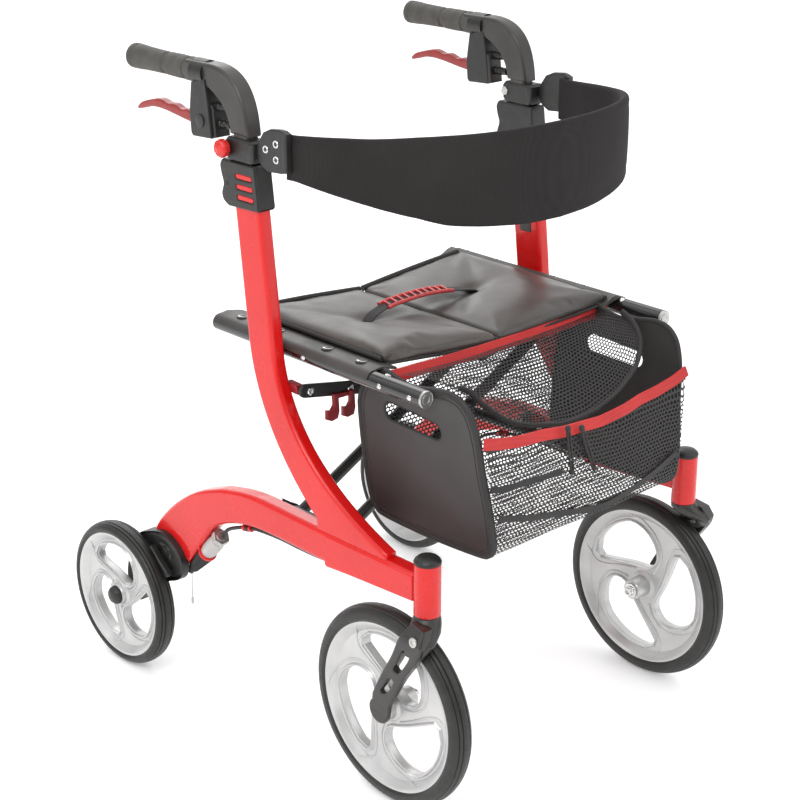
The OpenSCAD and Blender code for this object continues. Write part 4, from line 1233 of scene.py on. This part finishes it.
def build_bag():
    steps = 40
    # From the front hem down, along the sagging floor and up the back.
    section = smooth([(-100, 487), (-103, 455), (-107, 410), (-110, 372), (-108, 350), (-100, 338),
                      (-84, 331), (-40, 329), (20, 328.5), (70, 330), (90, 336), (100, 350), (104, 385),
                      (107, 430), (107, 470), (96, 503), (70, 520)], 4)
    rows = []
    count = len(section)
    for i, (y, z) in enumerate(section):
        row = []
        for k in range(steps + 1):
            t = k / steps
            near, far = panel_x(z, "r") - 1, panel_x(z, "l") - 1
            x = -near + (near + far) * t
            middle = math.sin(math.pi * t)
            top = max(0, 1 - i / 5)
            back = max(0, 1 - (count - 1 - i) / 12)
            flat = 1 if -84 < y < 80 else 0.5
            sag = 2.2 * middle * flat * (1 - top)
            droop = (487 - table_value(FRONT_HEM, x)) * top
            push = (3 * math.sin(3 * math.pi * t + y / 60)) * middle * (0.6 if y < -90 else 0.4)
            row.append((x, y + (push if y < -90 else -push), z - sag - droop - 4 * middle * back))
        rows.append(row)
    shell = uv_sheet("bag_net_shell", rows, NET)
    bag_piece(shell)
    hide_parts("bag_body")
    hem = make("bag_front_hem", ribbon_along(rows[0], 14, 3.4, (0, -1, 0.2)), RED_TAPE, None)
    bag_piece(hem)
    rear = []
    for k in range(steps + 1):
        t = k / steps
        x = -(RAIL_X - 14) + 2 * (RAIL_X - 16) * t
        rear.append((x, 56 - 4 * t, 517 - 4 * math.sin(math.pi * t)))
    hem2 = make("bag_rear_hem", ribbon_along(rear, 15, 2.2, (0, -0.55, 0.25)), RED_TAPE, None)
    bag_piece(hem2)
    build_lid()
    pocket = smooth([(-182, -104, 424), (-165, -107, 421), (-142, -107, 419), (-105, -105, 415),
                     (-62, -104, 412)], 5)
    low = smooth([(-176, -113, 390), (-130, -114, 377), (-82, -114, 367), (-35, -113, 357), (12, -112, 350),
                  (56, -112, 356), (100, -112, 366), (140, -112, 380)], 5)
    for name, path in (("pocket", pocket), ("low", low)):
        piece = make(f"bag_band_{name}", ribbon_along(path, 8, 1.4, (0, -1, 0)), BINDING, None)
        bag_piece(piece)


def ribbon_along(path, width, thick, facing):
    """A flat tape that follows a path, `width` wide downwards, facing a direction."""
    rings = []
    face = Vector(facing).normalized()
    for i, p in enumerate(path):
        a, b = Vector(path[max(i - 1, 0)]), Vector(path[min(i + 1, len(path) - 1)])
        along = (b - a).normalized()
        down = along.cross(face).normalized()
        if down.z > 0:
            down = -down
        p = Vector(p)
        h, t = down * width / 2, face * thick / 2
        rings.append([tuple(p - h - t * 0.3), tuple(p - h * 0.9 + t), tuple(p + h * 0.9 + t),
                      tuple(p + h - t * 0.3), tuple(p + h * 0.9 - t), tuple(p - h * 0.9 - t)])
    return loft(rings)


LID_FAR = [(30, -72, 455), (60, -70, 462), (90, -66, 472), (120, -58, 487), (145, -42, 506), (160, -18, 520),
           (167, 8, 528)]
LID_EDGE = [(0, -72, 452), (30, -72, 454), (60, -71, 460), (90, -70, 468), (120, -68, 481), (150, -58, 506),
            (170, -56, 526), (180, -50, 531)]


def build_lid():
    """The net lid: from the rear hem over the bag to a bound, drooping front edge with a zip."""
    edge = smooth([(-x, y, z) for x, y, z in LID_EDGE[:0:-1]] + [LID_EDGE[0]] + LID_FAR, 4)
    rows = []
    down = 18
    for j in range(down + 1):
        t = j / down
        row = []
        for x, y, z in edge:
            share = abs(x) / 180
            y0 = 50
            z0 = 513 + 6 * share**3
            y_mid = y0 + (y - y0) * t
            sag = 14 * math.sin(math.pi * t) * (1 - share**2) - 9 * math.sin(math.pi * t) * share**6
            z_mid = z0 + (z - z0) * (t**1.35) - sag * 0.5
            row.append((x * (0.985 if abs(x) > 170 else 1), y_mid, z_mid))
        rows.append(row)
    lid = uv_sheet("bag_lid", rows, NET)
    bag_piece(lid)
    binding = make("bag_lid_binding", tube(edge, 4.0, 10, 0.7), BINDING, None)
    bag_piece(binding)
    pulls = []
    for top, tip in (((-58, -107, 466), (-49, -108, 409)), ((-34, -107, 460), (-10, -108, 402))):
        a, b = Vector(top), Vector(tip)
        for side in (-1.9, 1.9):
            offset = Vector((side, 0, 0))
            pulls.append(tube([tuple(a + offset), tuple((a + b) / 2 + 1.3 * offset), tuple(b + offset)],
                              1.4, 8))
        pulls.append(lathe([(-3, 1), (-2, 3.2), (2, 3.4), (5, 2.4), (6, 1)], top, tuple(b - a), 12))
        pulls.append(lathe([(-4, 2.2), (-3, 3), (2, 3), (3, 2)], tip, tuple(b - a), 12))
    zip_pulls = make("bag_zip_pulls", joined(*pulls), BINDING, None)
    bag_piece(zip_pulls)


build_seat()
build_seam()
build_strap()
build_backrest()
build_panels()
build_bag()


# ---------------------------------------------------------------- stage
def build_stage():
    scene = bpy.context.scene
    mesh = bpy.data.meshes.new("floor")
    half = 40.0
    mesh.from_pydata([(-half, -half, 0), (half, -half, 0), (half, half, 0), (-half, half, 0)], [],
                     [(0, 1, 2, 3)])
    floor = bpy.data.objects.new("floor", mesh)
    scene.collection.objects.link(floor)
    material = surface("floor paper", (0.9, 0.9, 0.9), (0.93, 0.93, 0.93), 3, (0.7, 0.8), 60, 0.02, 0.001,
                       Emission_Color=(1, 1, 1, 1), Emission_Strength=0.22)
    mesh.materials.append(material)
    scene.view_settings.view_transform = "Standard"
    world = bpy.data.worlds.new("studio")
    scene.world = world
    world.use_nodes = True
    tree = world.node_tree
    split = tree.nodes.new("ShaderNodeSeparateXYZ")
    tree.links.new(tree.nodes.new("ShaderNodeTexCoord").outputs["Generated"], split.inputs["Vector"])
    sky = ramp(tree, split.outputs["Z"], [(0.0, (0.22, 0.22, 0.22)), (0.3, (0.42, 0.42, 0.42)),
                                          (0.75, (1, 1, 1))])
    # A white screen stands low behind the walker, towards (0.68, 0.73), and shows in the seat's gloss.
    behind = math_node(tree, "ADD", math_node(tree, "MULTIPLY", split.outputs["X"], 0.68),
                       math_node(tree, "MULTIPLY", split.outputs["Y"], 0.73))
    facing = ramp(tree, behind, [(0.55, (0, 0, 0)), (0.85, (1, 1, 1))])
    height = ramp(tree, split.outputs["Z"], [(0.3, (1, 1, 1)), (0.5, (0.1, 0.1, 0.1))])
    screen = math_node(tree, "MULTIPLY", facing, height)
    mix = tree.nodes.new("ShaderNodeMix")
    mix.data_type = "RGBA"
    tree.links.new(screen, mix.inputs["Factor"])
    tree.links.new(sky, mix.inputs["A"])
    mix.inputs["B"].default_value = (1.1, 1.1, 1.1, 1)
    tree.links.new(mix.outputs["Result"], tree.nodes["Background"].inputs["Color"])
    tree.nodes["Background"].inputs["Strength"].default_value = 1.35
    aim = at(0, 240, 420)
    for name, place, size, power in (("key", (-2.2, -1.2, 2.6), 1.6, 34), ("fill", (1.8, -2.6, 1.5), 2.2, 14),
                                     ("rim", (1.2, 2.6, 2.4), 1.8, 20), ("side", (-3.0, 1.2, 0.9), 1.4, 8)):
        light = bpy.data.lights.new(name, "AREA")
        light.size = size
        light.energy = power
        lamp = bpy.data.objects.new(name, light)
        lamp.location = place
        lamp.rotation_euler = (aim - Vector(place)).to_track_quat("-Z", "Y").to_euler()
        scene.collection.objects.link(lamp)


def build_camera():
    yaw, pitch, roll = 0.75231, 0.37044, 0.00118
    camera = bpy.data.cameras.new("camera")
    camera.lens = 84.87
    camera.sensor_width = 36
    camera.shift_x = 0.0057
    camera.shift_y = 0.002
    holder = bpy.data.objects.new("camera", camera)
    holder.location = (-1.57985, -1.68066, 1.28094)
    view = Vector((math.sin(yaw) * math.cos(pitch), math.cos(yaw) * math.cos(pitch), -math.sin(pitch)))
    turn = view.to_track_quat("-Z", "Y").to_matrix() @ Matrix.Rotation(roll, 3, "Z")
    holder.rotation_euler = turn.to_euler()
    bpy.context.scene.collection.objects.link(holder)
    bpy.context.scene.camera = holder


build_stage()
build_camera()
